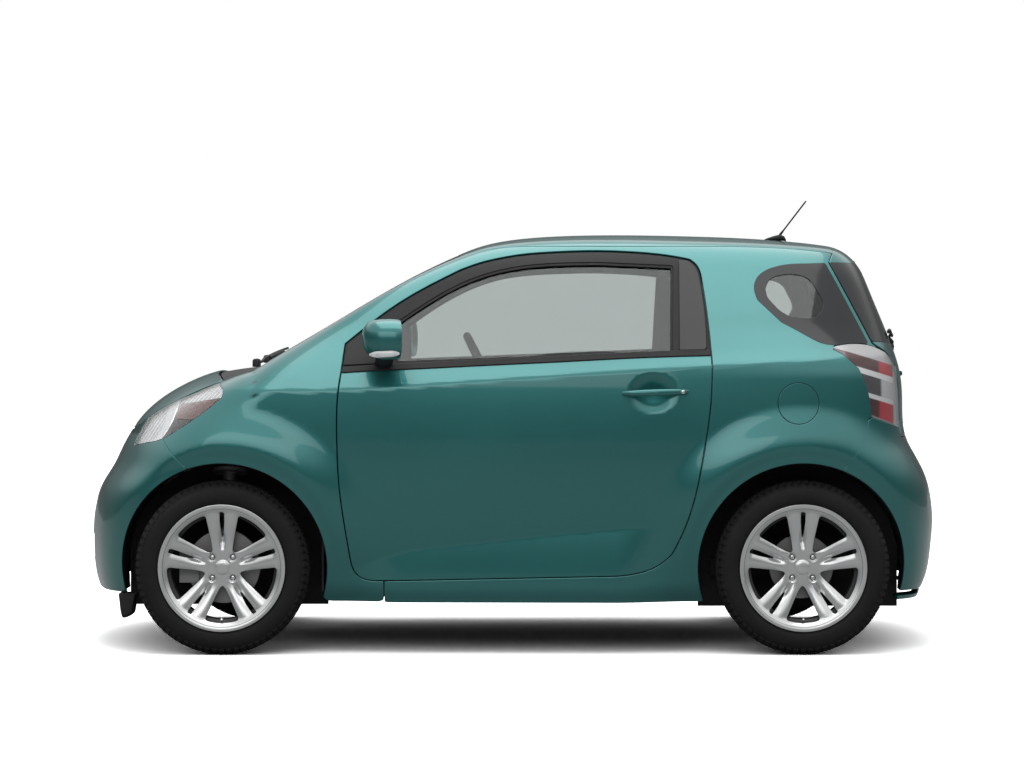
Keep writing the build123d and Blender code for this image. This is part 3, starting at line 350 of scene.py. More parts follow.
def trim(mesh, *rules, settle=True):
    """Cuts a mesh back to where every rule is positive, and settles its new edge on the skin."""
    points, faces = mesh
    for rule in rules:
        value = rule(points)
        ends = np.concatenate([faces[:, [0, 1]], faces[:, [1, 2]], faces[:, [2, 0]]])
        crossing = ends[value[ends[:, 0]] * value[ends[:, 1]] < 0]
        share = value[crossing[:, 0]] / (value[crossing[:, 0]] - value[crossing[:, 1]])
        close = share < 0.2
        points = points.copy()
        a, b = crossing[close].T
        points[a] = points[a] + (points[b] - points[a]) * share[close][:, None]
        value[a] = 1e-9
        sign = value > 0
        flags = sign[faces]
        count = flags.sum(1)
        part = faces[(count == 1) | (count == 2)]
        flags = sign[part]
        lone = flags.sum(1) == 1
        odd = np.where(lone, flags.argmax(1), (~flags).argmax(1))
        rows = np.arange(len(part))
        a, b, c = part[rows, odd], part[rows, (odd + 1) % 3], part[rows, (odd + 2) % 3]
        made = []
        for other in (b, c):
            share = (value[a] / (value[a] - value[other]))[:, None]
            made.append(points[a] + (points[other] - points[a]) * share)
        count_before = len(points)
        ab = count_before + rows
        ac = ab + len(part)
        points = np.concatenate([points, *made])
        faces = np.concatenate([faces[count == 3], np.stack([a, ab, ac], 1)[lone],
                                np.stack([ab, b, c], 1)[~lone], np.stack([ab, c, ac], 1)[~lone]])
        points, faces = weld(points, faces)
    points, faces = without_crumbs(points, faces)
    if not settle:
        return points, faces
    middle = points[:, 0] < 1e-6
    normal = outward(points)
    points = points - normal * skin_level(points)[:, None]
    points[middle, 0] = 0
    return points, faces


def loop(*runs, parts=4):
    """The corners of an outline: a run of one point makes a line and a longer one a smooth curve."""
    corners = []
    last = runs[-1][-1]
    for run in runs:
        if len(run) == 1:
            corners.append(run[0])
        else:
            points = np.array([last, *run], float)
            along = np.concatenate([[0], np.cumsum(np.hypot(*np.diff(points, axis=0).T))])
            spots = np.interp(np.arange(1, parts * len(run) + 1) / parts, np.arange(len(along)), along)
            across, up = (Curve(*zip(along, points[:, i]))(spots) for i in (0, 1))
            corners.extend(zip(across, up))
        last = run[-1]
    return np.array(corners, float)


def within(corners, axes, margin=0.0):
    """How far points lie inside an outline seen along the remaining axis, less a margin."""
    def depth(points):
        flat = points[:, axes]
        nearest = np.full(len(flat), 1e9)
        inside = np.zeros(len(flat), bool)
        for a, b in zip(corners, np.roll(corners, -1, axis=0)):
            line = b - a
            share = np.clip((flat - a) @ line / max(line @ line, 1e-9), 0, 1)
            gap = flat - a - share[:, None] * line
            nearest = np.minimum(nearest, np.hypot(gap[:, 0], gap[:, 1]))
            spans = (a[1] > flat[:, 1]) != (b[1] > flat[:, 1])
            with np.errstate(divide="ignore", invalid="ignore"):
                reach = a[0] + (flat[:, 1] - a[1]) * line[0] / line[1]
            inside ^= spans & (flat[:, 0] < reach)
        return np.where(inside, nearest, -nearest) - margin
    return depth


def side(corners, margin=0.0):
    return within(corners, [1, 2], margin)


def plan(corners, margin=0.0):
    return within(corners, [0, 1], margin)


def outside(rule, gap=0.0):
    return lambda points: -rule(points) - gap


def arch(radius):
    """Positive outside both wheel openings."""
    return lambda points: np.hypot(np.abs(points[:, 1]) - 1000, points[:, 2] - 300) - radius


def beyond(axis, limit, sign=1):
    return lambda points: sign * (points[:, axis] - limit)


def rims(faces):
    """The closed loops of a mesh's open edges."""
    edges = np.concatenate([faces[:, [0, 1]], faces[:, [1, 2]], faces[:, [2, 0]]]).tolist()
    known = {(a, b) for a, b in edges}
    ahead = {a: b for a, b in known if (b, a) not in known}
    loops = []
    while ahead:
        start, there = ahead.popitem()
        chain = [start]
        while there != start and there in ahead:
            chain.append(there)
            there = ahead.pop(there)
        if there == start and len(chain) > 2:
            loops.append(chain)
    return loops


def own_normals(points, faces):
    """A normal at each corner, from the faces round it."""
    normal = np.zeros_like(points)
    a, b, c = (points[faces[:, i]] for i in range(3))
    for i in range(3):
        np.add.at(normal, faces[:, i], np.cross(b - a, c - a))
    return normal / np.maximum(np.linalg.norm(normal, axis=1, keepdims=True), 1e-9)


def hemmed(mesh, thick, sink=0.0, radius=2.5, mirrored=False, on_body=True):
    """A closed sheet: the patch, sunk below the skin if asked, its rounded hem, and its inner face."""
    points, faces = mesh
    normal = outward(points) if on_body else own_normals(points, faces)
    if mirrored:
        both = np.concatenate([points, points * [-1, 1, 1]])
        turned = np.concatenate([normal, normal * [-1, 1, 1]])
        faces = np.concatenate([faces, faces[:, ::-1] + len(points)])
        _, first, index = np.unique(np.round(both, 2), axis=0, return_index=True, return_inverse=True)
        points, normal, faces = both[first], turned[first], index.reshape(-1)[faces]
    points = points - normal * sink
    count = len(points)
    inner = points - normal * thick
    rings = [points, inner]
    bends = [normal, -normal]
    quads = []
    total = 2 * count
    for chain in rims(faces):
        chain = np.array(chain)
        place, lean = points[chain], normal[chain]
        along = np.roll(place, -1, 0) - np.roll(place, 1, 0)
        out = np.cross(along, lean)
        out = out / np.maximum(np.linalg.norm(out, axis=1, keepdims=True), 1e-9)
        inner[chain] += out * radius
        last = chain
        for angle in (0.5, 1.0, math.pi / 2):
            rings.append(place + out * radius * math.sin(angle) - lean * radius * (1 - math.cos(angle)))
            bends.append(lean * math.cos(angle) + out * math.sin(angle))
            fresh = total + np.arange(len(chain))
            quads.append(np.stack([np.roll(last, -1), last, fresh, np.roll(fresh, -1)], 1))
            last = fresh
            total += len(chain)
        end = chain + count
        quads.append(np.stack([np.roll(last, -1), last, end, np.roll(end, -1)], 1))
    return (np.concatenate(rings), faces.tolist() + (faces[:, ::-1] + count).tolist()
            + np.concatenate(quads).tolist(), np.concatenate(bends))


def piece(name, form, paint, body="body", slot=None, flip=False):
    """A mesh object, in metres, that rides on a body, from points in millimetres, faces and normals."""
    points, faces, normals = form if len(form) == 3 else (*form, None)
    points = np.array(points, float) * ([-0.001, 0.001, 0.001] if flip else 0.001)
    if flip:
        faces = [face[::-1] for face in faces]
    mesh = bpy.data.meshes.new(name)
    mesh.from_pydata(points.tolist(), [], [list(face) for face in faces])
    mesh.shade_smooth()
    mesh.materials.append(paint)
    if normals is not None:
        normals = normals * ([-1, 1, 1] if flip else 1)
        mesh.normals_split_custom_set_from_vertices(normals.tolist())
    else:
        built = bmesh.new()
        built.from_mesh(mesh)
        bmesh.ops.remove_doubles(built, verts=built.verts, dist=1e-5)
        bmesh.ops.recalc_face_normals(built, faces=built.faces)
        built.to_mesh(mesh)
        built.free()
        mesh.set_sharp_from_angle(angle=math.radians(38))
    made = bpy.data.objects.new(name, mesh)
    scene.collection.objects.link(made)
    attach(made, body)
    return made


def both(name, form, paint, bodies=("body", "body"), slot=None):
    return [piece(name + end, form, paint, body, slot, flip)
            for end, body, flip in (("_left", bodies[0], False), ("_right", bodies[1], True))]


DOOR = loop([(-601, 878), (-603, 775), (-596, 603), (-582, 483), (-558, 328)],
            [(-545, 287), (-517, 262), (-472, 254)], [(301, 271)], [(438, 283), (507, 311), (548, 345)],
            [(589, 431), (631, 569), (658, 706), (682, 878), (687, 988)], [(672, 1189), (659, 1293)],
            [(645, 1342), (620, 1365)],
            [(571, 1375), (445, 1390), (306, 1396), (131, 1391), (26, 1382), (-44, 1370), (-114, 1353),
             (-183, 1328)], [(-393, 1213), (-579, 1070)], [(-589, 981)])
QUARTER_WINDOW = loop([(853, 1222)], [(842, 1258), (851, 1298), (905, 1336), (1038, 1352)], [(1098, 1354)],
                      [(1236, 1070)], [(1177, 1074)], [(1079, 1070), (1003, 1107), (933, 1145)])
TAIL_LAMP = loop([(1093, 1059)], [(1142, 1068), (1212, 1070), (1254, 1061), (1299, 1042)], [(1344, 997)],
                 [(1355, 892), (1360, 777)], [(1240, 817)], [(1233, 875), (1219, 927), (1194, 986)],
                 [(1135, 1038)])
TAILGATE = loop([(1140, 1600)], [(1140, 1412)], [(1112, 1356)], [(1252, 1072)], [(1300, 1045)], [(1347, 999)],
                [(1358, 892)], [(1363, 745)], [(1700, 745)], [(1700, 1600)])
BODY_SIDE = loop([(-440, 180)], [(-440, 300)], [(-560, 900)], [(-575, 1040)], [(-585, 1080)], [(-640, 1130)],
                 [(-700, 1600)], [(1500, 1600)], [(1500, 180)])
REAR_BUMPER = loop([(1226, 819)], [(1223, 774), (1198, 722), (1170, 677), (1141, 641)], [(1000, 500)],
                   [(1300, 190)], [(1700, 190)], [(1700, 741)], [(1363, 741)], [(1361, 777)], [(1317, 790)])
SCREEN = loop([(655, -850)], [(610, -560), (500, -186)], [(250, -196), (0, -200), (-250, -196), (-500, -186)],
              [(-610, -560), (-655, -850)], [(-330, -878), (0, -888), (330, -878)])
ROOF = loop([(500, -185.5)], [(532, 200), (532, 700), (508, 1132)], [(-508, 1132)], [(-532, 700), (-532, 200),
            (-500, -185.5)], [(-250, -195.5), (0, -199.5), (250, -195.5)])

teal, shader, s = finish("teal_paint", (0.022, 0.185, 0.178), 0.3, 0.62, Coat_Weight=0.9, Coat_Roughness=0.05)
flakes = s.node("TexVoronoi", out=1, Vector=s.here(), Scale=1900.0)
glint = s.node("SeparateColor", out=0, Color=flakes)
cloud = s.noise(1.3, 3.0)
tone = (0.82 + cloud * 0.2 + glint * 0.16)
feed(shader, Base_Color=tone.step(0.7, 1.2).mix((0.012, 0.125, 0.125), (0.030, 0.20, 0.195)),
     Roughness=0.27 + s.noise(9.0, 4.0) * 0.06,
     Normal=s.bump(s.noise(900.0, 2.0), 0.00002, 0.5))

side_patch = patch((-46, 75), (-35, 64))
aperture = side(DOOR, -5)
body_side = trim(side_patch, side(BODY_SIDE), outside(aperture), outside(plan(SCREEN, -5)),
                 outside(plan(ROOF, -4)), outside(side(TAILGATE, -5)), outside(side(REAR_BUMPER, -1.5)),
                 outside(side(TAIL_LAMP, -1.5)), outside(side(QUARTER_WINDOW, -1)), arch(363))


def disc(radius):
    """Positive within a radius of the middle of the fuel filler lid."""
    return lambda points: radius - np.hypot(points[:, 1] - 983, points[:, 2] - 866)


with_filler = trim(body_side, outside(disc(74)))
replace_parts(piece("body_side_panel_left", hemmed(with_filler, 24), teal, slot="paint"), "body_side_left")
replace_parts(piece("body_side_panel_right", hemmed(body_side, 24), teal, slot="paint", flip=True),
            "body_side_right")


# Doors: a pressed steel skin over a deep box, hung on two hinges inside the front shut line. Below
# the glass it is painted; the window frame above is black, with a gloss-black strip on its pillar,
# a fixed triangle in its front corner, a rubber strip along the belt and a weatherstrip all round.
BELT_LINE = Curve((-640, 968), (-596, 972), (-388, 984), (-43, 1001), (164, 1011), (440, 1025), (671, 1032))
WINDOW = loop([(-404, 1006)], [(-404, 1146)], [(-182, 1283), (-43, 1331), (130, 1354), (304, 1358)],
              [(562, 1346)], [(552, 1040)])
HINGE_SIDE = ("left_door", "right_door")


def above_belt(rise):
    return lambda points: points[:, 2] - BELT_LINE(points[:, 1]) - rise


black_trim, shader, s = finish("black_trim", (0.018, 0.018, 0.019), 0.5, Specular_IOR_Level=0.25)
grain = s.node("TexVoronoi", {"feature": "SMOOTH_F1"}, Vector=s.here(), Scale=900.0)
feed(shader, Base_Color=s.noise(5.0).mix((0.014, 0.014, 0.015), (0.026, 0.026, 0.027)),
     Roughness=0.42 + grain * 0.2, Normal=s.bump(grain, 0.0003, 0.5))
gloss_black, shader, s = finish("gloss_black", (0.012, 0.012, 0.013), 0.16, Specular_IOR_Level=0.4)
feed(shader, Roughness=0.12 + s.noise(30.0) * 0.1,
     Base_Color=s.noise(3.0).mix((0.010, 0.010, 0.011), (0.020, 0.021, 0.022)))
rubber, shader, s = finish("seal_rubber", (0.010, 0.010, 0.011), 0.7)
feed(shader, Roughness=0.6 + s.noise(40.0) * 0.25, Base_Color=s.noise(12.0).mix((0.008,) * 3, (0.017,) * 3),
     Normal=s.bump(s.noise(700.0), 0.0002, 0.4))

door_patch = patch((-25, 31), (-28, 66), 0.4, 0.7)
flange = trim(patch((-26, 32), (-30, 67), 0.5, 0.9), side(DOOR, -12), outside(side(DOOR, 24)),
              lambda p: np.maximum(p[:, 1] + 380, p[:, 2] - 975))
both("door_flange", hemmed(flange, 6, 46), teal, slot="paint")
seal = trim(flange, side(DOOR, 5), outside(side(DOOR, 19)))
both("door_seal", hemmed(seal, 5, 39.5), rubber, slot="rubber")
door_skin = trim(door_patch, side(DOOR, 3), outside(above_belt(-2)))
both("door_skin", hemmed(door_skin, 34), teal, HINGE_SIDE, "paint")
frame_rules = side(DOOR, 3), above_belt(4)
frame_skin = trim(door_patch, *frame_rules, outside(side(WINDOW, -2)))
pieces = both("door_frame", hemmed(frame_skin, 30, 3), black_trim, HINGE_SIDE, "black_plastic")
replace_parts(pieces[0], "door_left")
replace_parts(pieces[1], "door_right")
moulding = trim(door_patch, side(DOOR, 4), above_belt(-1), outside(above_belt(15)))
both("belt_moulding", hemmed(moulding, 16, -4.5, 3), black_trim, HINGE_SIDE, "black_plastic")
APPLIQUE = loop([(574, 1040)], [(672, 1044)], [(668, 1189), (655, 1293)], [(641, 1338), (618, 1360)],
                [(580, 1368)])
applique = trim(door_patch, side(APPLIQUE, 4), above_belt(20))
both("pillar_applique", hemmed(applique, 5, -2.5, 2), gloss_black, HINGE_SIDE, "black_plastic")
SAIL = loop([(-586, 996)], [(-570, 1066)], [(-412, 1172)], [(-412, 1004)])
sail = trim(door_patch, side(SAIL, 2), above_belt(18))
both("mirror_sail", hemmed(sail, 5, -2, 2), black_trim, HINGE_SIDE, "black_plastic")

glass, shader, s = finish("window_glass", (0.54, 0.58, 0.57), 0.0, Transmission_Weight=1.0, IOR=1.45)
feed(shader, Base_Color=s.noise(0.6).mix((0.53, 0.575, 0.565), (0.545, 0.585, 0.575)))
pieces = both("door_pane", hemmed(trim(door_patch, side(WINDOW, 0), above_belt(8)), 4, 13, 0.4), glass,
              HINGE_SIDE, "glass")
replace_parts(pieces[0], "door_glass_left")
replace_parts(pieces[1], "door_glass_right")
channel = trim(door_patch, side(WINDOW, -3), above_belt(6), outside(side(WINDOW, 7)))
both("glass_run", hemmed(channel, 7, 6, 1.5), rubber, HINGE_SIDE, "rubber")

# Door handles: a painted grip along the crease that swings out over a dished pocket in the skin,
# with a lock plug in its rear end.


def tube(path, radii, sides=16, caps=True):
    """A closed tube through points, with a radius or an (across, up) pair at each."""
    path = np.array(path, float)
    along = np.gradient(path, axis=0)
    along /= np.linalg.norm(along, axis=1, keepdims=True)
    across = np.cross(along, [0, 0, 1.0])
    flat = np.linalg.norm(across, axis=1) < 1e-3
    across[flat] = [1, 0, 0]
    across /= np.linalg.norm(across, axis=1, keepdims=True)
    up = np.cross(across, along)
    radii = np.array([r if hasattr(r, "__len__") else (r, r) for r in radii], float)
    turn = np.linspace(0, 2 * math.pi, sides, endpoint=False)
    ring = (path[:, None] + across[:, None] * (radii[:, :1] * np.cos(turn))[..., None]
            + up[:, None] * (radii[:, 1:] * np.sin(turn))[..., None])
    points = ring.reshape(-1, 3).tolist()
    faces = []
    for i in range(len(path) - 1):
        for j in range(sides):
            k = (j + 1) % sides
            faces.append([i * sides + j, (i + 1) * sides + j, (i + 1) * sides + k, i * sides + k])
    if caps:
        for i, order in ((0, 1), (len(path) - 1, -1)):
            points.append(path[i].tolist())
            ends = [[i * sides + j, i * sides + (j + 1) % sides, len(points) - 1] for j in range(sides)]
            faces += [end[::order] for end in ends]
    return points, faces


def joined(*forms):
    points, faces = [], []
    for made in forms:
        faces += [[i + len(points) for i in face] for face in made[1]]
        points += [tuple(p) for p in np.array(made[0], float).tolist()]
    return points, faces


def skin_met(axis, start, across, rounds=14):
    """Where a line along an axis, inward from start, meets the skin at the other two coordinates."""
    spot = list(across)
    spot.insert(axis, np.zeros(np.shape(across[0])) + start)
    for _ in range(rounds):
        level = skin_level(np.stack(np.broadcast_arrays(*spot), -1))
        spot[axis] = spot[axis] - math.copysign(1, start) * level
    return spot[axis]


def skin_x(y, z):
    """How far out the side's skin is, in millimetres."""
    return skin_met(0, 900.0, (y, z), 12)


grip_y = np.linspace(378, 604, 15)
grip_z = 900 + (grip_y - 372) * 0.03
lift = 22 * np.sin(np.linspace(0, math.pi, 15))**0.45
grip_x = np.interp(grip_y, [378, 604], skin_x(grip_y[[0, -1]], grip_z[[0, -1]]))
grip_path = np.stack([grip_x + 0.9 * lift + 1, grip_y, grip_z], -1)
thick = 0.35 + 0.65 * np.sin(np.linspace(0.12, math.pi - 0.12, 15))**0.5
grip = tube(grip_path, [(7 * t, 11.5 * t) for t in thick], 18)
pieces = both("handle_grip", grip, teal, HINGE_SIDE, "paint")
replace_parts(pieces[0], "door_handle_left")
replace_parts(pieces[1], "door_handle_right")
chrome, shader, s = finish("bright_metal", (0.75, 0.76, 0.77), 0.16, 1.0)
feed(shader, Roughness=0.12 + s.noise(60.0, 4.0) * 0.12,
     Base_Color=s.noise(8.0).mix((0.70, 0.71, 0.72), (0.80, 0.81, 0.82)))


def turned(profile, centre, axis="x", sides=48, sign=1, ring=False):
    """A shape spun about an axis along X, Y or Z, from (radius, along) pairs, or a ring of that section."""
    points, faces = [], []
    profile = list(profile) + (list(profile[:1]) if ring else [])
    for radius, along in profile:
        for j in range(sides):
            a = 2 * math.pi * j / sides
            spot = [along * sign, radius * math.cos(a), radius * math.sin(a)]
            order = {"x": (0, 1, 2), "y": (2, 0, 1), "z": (1, 2, 0)}[axis]
            points.append([spot[order[i]] + centre[i] for i in range(3)])
    for i in range(len(profile) - 1):
        for j in range(sides):
            k = (j + 1) % sides
            face = [i * sides + j, i * sides + k, (i + 1) * sides + k, (i + 1) * sides + j]
            faces.append(face if sign > 0 else face[::-1])
    return points, faces


plug = turned([(0.01, 4), (5, 4), (6.5, 3), (6.5, -6), (0.01, -6)], (grip_path[12][0] + 8.5, 585, 906),
              sides=24)
both("door_lock", plug, chrome, HINGE_SIDE)


# Door mirrors: a painted shell on a black foot that stands on the sail, with a clear indicator
# strip round its outer edge and a flat glass set into the back.
def loft(sections, sides=28, power=2.6):
    """A closed skin over squarish rings, each (centre, across, up, turn in degrees) in a plane facing Y."""
    points, faces = [], []
    for (x, y, z), across, up, turn in sections:
        for j in range(sides):
            a = 2 * math.pi * j / sides
            u = math.copysign(abs(math.cos(a))**(2 / power), math.cos(a)) * across
            v = math.copysign(abs(math.sin(a))**(2 / power), math.sin(a)) * up
            lean = math.radians(turn)
            points.append([x + u * math.cos(lean), y + u * math.sin(lean), z + v])
    for i in range(len(sections) - 1):
        for j in range(sides):
            k = (j + 1) % sides
            faces.append([i * sides + j, i * sides + k, (i + 1) * sides + k, (i + 1) * sides + j])
    for i, order in ((0, -1), (len(sections) - 1, 1)):
        points.append(list(sections[i][0]))
        ends = [[i * sides + j, i * sides + (j + 1) % sides, len(points) - 1] for j in range(sides)]
        faces += [end[::order] for end in ends]
    return points, faces


mirror_shell = [((x, y, z), across, up, 8) for x, y, z, across, up in (
    (868, -512, 1092, 30, 18), (872, -508, 1091, 52, 36), (876, -496, 1090, 68, 53),
    (879, -476, 1088, 77, 64), (881, -450, 1086, 80, 69), (882, -420, 1086, 80, 70),
    (882, -395, 1086, 79, 69), (882, -386, 1086, 76, 66), (882, -390, 1086, 71, 61),
    (882, -402, 1086, 69, 59))]
pieces = both("mirror_shell", loft(mirror_shell), teal, HINGE_SIDE, "paint")
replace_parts(pieces[0], "door_mirror_left")
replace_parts(pieces[1], "door_mirror_right")
silvered, shader, s = finish("mirror_glass", (0.85, 0.87, 0.88), 0.02, 1.0)
feed(shader, Roughness=0.01 + s.noise(4.0) * 0.02)
both("mirror_pane", loft([((882, -399, 1086), 66, 56, 8), ((882, -396, 1086), 68, 58, 8),
                          ((882, -394.5, 1086), 66, 56, 8)]), silvered, HINGE_SIDE)
foot_path = [(752, -446, 1000), (776, -444, 1006), (800, -442, 1014), (826, -442, 1024), (850, -444, 1034)]
both("mirror_foot", tube(foot_path, [(34, 20), (31, 16), (29, 14), (30, 13), (26, 9)], 20), black_trim,
     HINGE_SIDE, "black_plastic")
clear, shader, s = finish("clear_lens", (0.92, 0.93, 0.94), 0.08, Transmission_Weight=0.35, IOR=1.45,
                          Coat_Weight=0.8)
ribs = s.node("TexWave", Vector=s.here(), Scale=60.0)
feed(shader, Base_Color=ribs.mix((0.80, 0.82, 0.84), (0.95, 0.96, 0.97)))
strip_y = np.linspace(-486, -384, 9)
strip = [(962.5 - 0.0022 * (y + 425)**2 - 3.5, y, 1036 + (y + 435) * 0.04) for y in strip_y]
both("mirror_indicator", tube([(x - 1, y, z) for x, y, z in strip],
                              [(3 * t, 11 * t) for t in (0.3, 0.8, 1, 1, 1, 1, 1, 0.8, 0.3)], 14), clear,
     HINGE_SIDE, "lamp")


# Front wings: bolt-on steel, from the lamp back to the door, with a rolled lip round the wheel.
FENDER = loop([(-1209, 742)], [(-1178, 700), (-1115, 641)], [(-1000, 500)], [(-640, 180)], [(-446, 180)],
              [(-446, 280)], [(-560, 900)], [(-575, 1040)], [(-585, 1080)], [(-640, 1130)], [(-700, 1600)],
              [(-1700, 1600)], [(-1700, 742)])
HEADLAMP = loop([(-1332, 712)], [(-1315, 761), (-1280, 820), (-1245, 863), (-1185, 898), (-1097, 926)],
                [(-1034, 943)], [(-1009, 926), (-999, 905), (-1006, 880)],
                [(-1045, 848), (-1115, 799), (-1185, 754)], [(-1227, 736), (-1273, 726)])
BONNET = loop([(612, -1012)], [(575, -1130), (500, -1245), (400, -1322)],
              [(250, -1362), (0, -1381), (-250, -1362), (-400, -1322)],
              [(-500, -1245), (-575, -1130), (-612, -1012)], [(-300, -1056), (0, -1068), (300, -1056)])
COWL = loop([(640, -1007)], [(672, -845)], [(330, -873), (0, -883), (-330, -873), (-672, -845)],
            [(-640, -1007)], [(-300, -1048), (0, -1060), (300, -1048)])
nose_patch = patch((-90, -14), (-35, 90), 0.7, 0.8)
fender = trim(nose_patch, side(FENDER, 1.5), outside(side(DOOR, -5)), outside(side(HEADLAMP, -1)),
              outside(plan(BONNET, -5)), outside(plan(COWL, -2)), outside(plan(SCREEN, -4)), arch(363))
pieces = both("front_wing", hemmed(fender, 10), teal, slot="paint")
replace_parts(pieces[0], "front_fenders")


# Bonnet: a short pressed lid hinged at the scuttle, and behind it the black plastic scuttle grille
# with the wipers parked on it.
bonnet = trim(nose_patch, plan(BONNET, 2.5))
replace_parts(piece("bonnet_skin", hemmed(bonnet, 12, mirrored=True), teal, "bonnet_lid", "paint"), "bonnet")
cowl = trim(patch((-90, -14), (20, 90), 0.7, 0.8), plan(COWL, 2), outside(plan(SCREEN, -2)),
            outside(plan(BONNET, -6)))
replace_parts(piece("scuttle", hemmed(cowl, 10, 8, mirrored=True), black_trim, slot="black_plastic"), "cowl")


# Windscreen and roof: bonded laminated glass with a dark ceramic border, and a pressed roof skin.
screen_patch = patch((-60, -8), (20, 90), 0.6, 0.8)
screen = trim(screen_patch, plan(SCREEN, 2.5))
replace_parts(piece("screen_glass", hemmed(screen, 5, 1, 1, True), glass, slot="glass"), "windscreen")
border = trim(screen_patch, plan(SCREEN, 4), outside(plan(SCREEN, 42)))
piece("screen_border", hemmed(border, 1.5, 6.5, 0.5, True), gloss_black, slot="black_plastic")
roof = trim(patch((-20, 74), (50, 90), 0.6, 0.8), plan(ROOF, 2))
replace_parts(piece("roof_skin", hemmed(roof, 20, mirrored=True), teal, slot="paint"), "roof_panel")


# Bumpers: flexible painted mouldings that wrap the corners. The front one holds a low grille and
# a blank plate panel; the rear one has a blank plate recess in the tailgate's place above it.
NOSE = loop([(-1211, 740)], [(-1180, 698), (-1117, 639)], [(-1000, 500)], [(-1340, 180)],
            [(-1700, 180)], [(-1700, 1600)], [(-1211, 1600)])
GRILLE = loop([(-330, 392)], [(-300, 300)], [(300, 300)], [(330, 392)])
PLATE = loop([(-255, 405)], [(-255, 512)], [(255, 512)], [(255, 405)])


def front(corners, margin=0.0):
    return within(corners, [0, 2], margin)


bumper = trim(nose_patch, side(NOSE, 0.5), outside(plan(BONNET, -5)), outside(side(HEADLAMP, -1)), arch(363),
              outside(front(GRILLE)), outside(front(PLATE, -1)), beyond(2, 205))
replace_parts(piece("front_bumper_skin", hemmed(bumper, 6, mirrored=True), teal, slot="paint"), "front_bumper")
tail_patch = patch((14, 90), (-35, 52), 0.7, 0.8)
bumper = trim(tail_patch, side(REAR_BUMPER, 1), arch(363), beyond(2, 212))
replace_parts(piece("rear_bumper_skin", hemmed(bumper, 6, mirrored=True), teal, slot="paint"), "rear_bumper")


# Rear quarter windows: fixed panes bonded over the pillar, printed black but for a clear oval.
oval = loop([(884, 1241), (902, 1213), (930, 1185), (961, 1166)],
            [(1010, 1158), (1064, 1171), (1076, 1187), (1083, 1210), (1072, 1241), (1057, 1268), (1037, 1296),
             (1010, 1309), (975, 1315), (940, 1312), (900, 1297), (881, 1265)])
quarter_patch = patch((28, 66), (26, 66), 0.35, 0.6)
quarter = trim(quarter_patch, side(QUARTER_WINDOW, 0.5))
pieces = both("quarter_pane", hemmed(trim(quarter, side(oval, -6)), 2, 2, 0.5), glass, slot="glass")
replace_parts(pieces[0], "quarter_glasses")
privacy, shader, s = finish("printed_glass", (0.03, 0.031, 0.034), 0.06, IOR=1.45,
                            Specular_IOR_Level=0.35)
feed(shader, Base_Color=s.noise(1.5).mix((0.022, 0.023, 0.025), (0.045, 0.046, 0.049)),
     Roughness=0.05 + s.noise(20.0) * 0.05)
both("quarter_print", hemmed(trim(quarter, outside(side(oval))), 2, -0.5, 1), privacy, slot="glass")


# Fuel filler lid: a round painted flap in the left rear quarter, on a small hinge at its front edge.
lid = trim(patch((30, 42), (13, 32), 0.2, 0.4), disc(69))
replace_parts(piece("fuel_flap", hemmed(lid, 3, radius=1.2), teal, "filler_lid", "paint"), "fuel_lid")
cup = turned([(71, 12), (71, -34), (30, -40), (26, -40), (26, -8), (0.01, -6)], (776, 983, 866), sides=64)
piece("filler_pot", cup, black_trim)


# Tailgate: a painted lid with black-printed glass over its whole upper half, a roof spoiler above
# it with a stop lamp, a blank plate panel below, and one wiper on a pivot through the glass.
gate_patch = patch((24, 90), (0, 72), 0.6, 0.7)

gate = trim(gate_patch, side(TAILGATE, 2.5))
HATCH = loop([(-430, 1096)], [(-442, 1180), (-428, 1290)], [(-400, 1322), (0, 1338), (400, 1322)],
             [(428, 1290), (442, 1180), (430, 1096)], [(400, 1076), (0, 1066), (-400, 1076)])


def black_zone(points):
    return np.minimum(points[:, 2] - 1062 - 0.00004 * points[:, 0]**2, 1356 - points[:, 2])


upper = trim(gate, black_zone)
print_panel = trim(upper, outside(front(HATCH)))
piece("hatch_print", hemmed(print_panel, 10, mirrored=True), privacy, "tail_door", "glass")
pane = trim(upper, front(HATCH, 0.5))
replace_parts(piece("hatch_glass", hemmed(pane, 4, 0.5, 0.5, True), glass, "tail_door", "glass"),
            "tailgate_glass")
skin_low = trim(gate, lambda p: 1058 + 0.00004 * p[:, 0]**2 - p[:, 2], outside(front(
    loop([(-262, 800)], [(-262, 935)], [(262, 935)], [(262, 800)]))))
lower = piece("tailgate_skin", hemmed(skin_low, 30, mirrored=True), teal, "tail_door", "paint")
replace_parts(lower, "tailgate")
recess = trim(gate, front(loop([(-268, 795)], [(-268, 940)], [(268, 940)], [(268, 795)])))
piece("plate_recess", hemmed(recess, 4, 18, mirrored=True), black_trim, "tail_door", "black_plastic")
plate_paint, shader, s = finish("plate_blank", (0.62, 0.63, 0.62), 0.35, 0.0)
feed(shader, Base_Color=s.noise(7.0).mix((0.58, 0.59, 0.58), (0.68, 0.69, 0.68)),
     Roughness=0.3 + s.noise(50.0) * 0.15)
blank = trim(gate, front(loop([(-250, 812)], [(-250, 922)], [(250, 922)], [(250, 812)])))
piece("plate_blank_rear", hemmed(blank, 3, 12, mirrored=True), plate_paint, "tail_door")
spoiler_patch = patch((24, 90), (38, 80), 0.6, 0.5)
spoiler = trim(spoiler_patch, side(TAILGATE, 2.5), beyond(2, 1357))
piece("roof_spoiler", hemmed(spoiler, 24, radius=4, mirrored=True), teal, "tail_door", "paint")


def rear_y(x, z):
    return skin_met(1, 1500.0, (x, z))


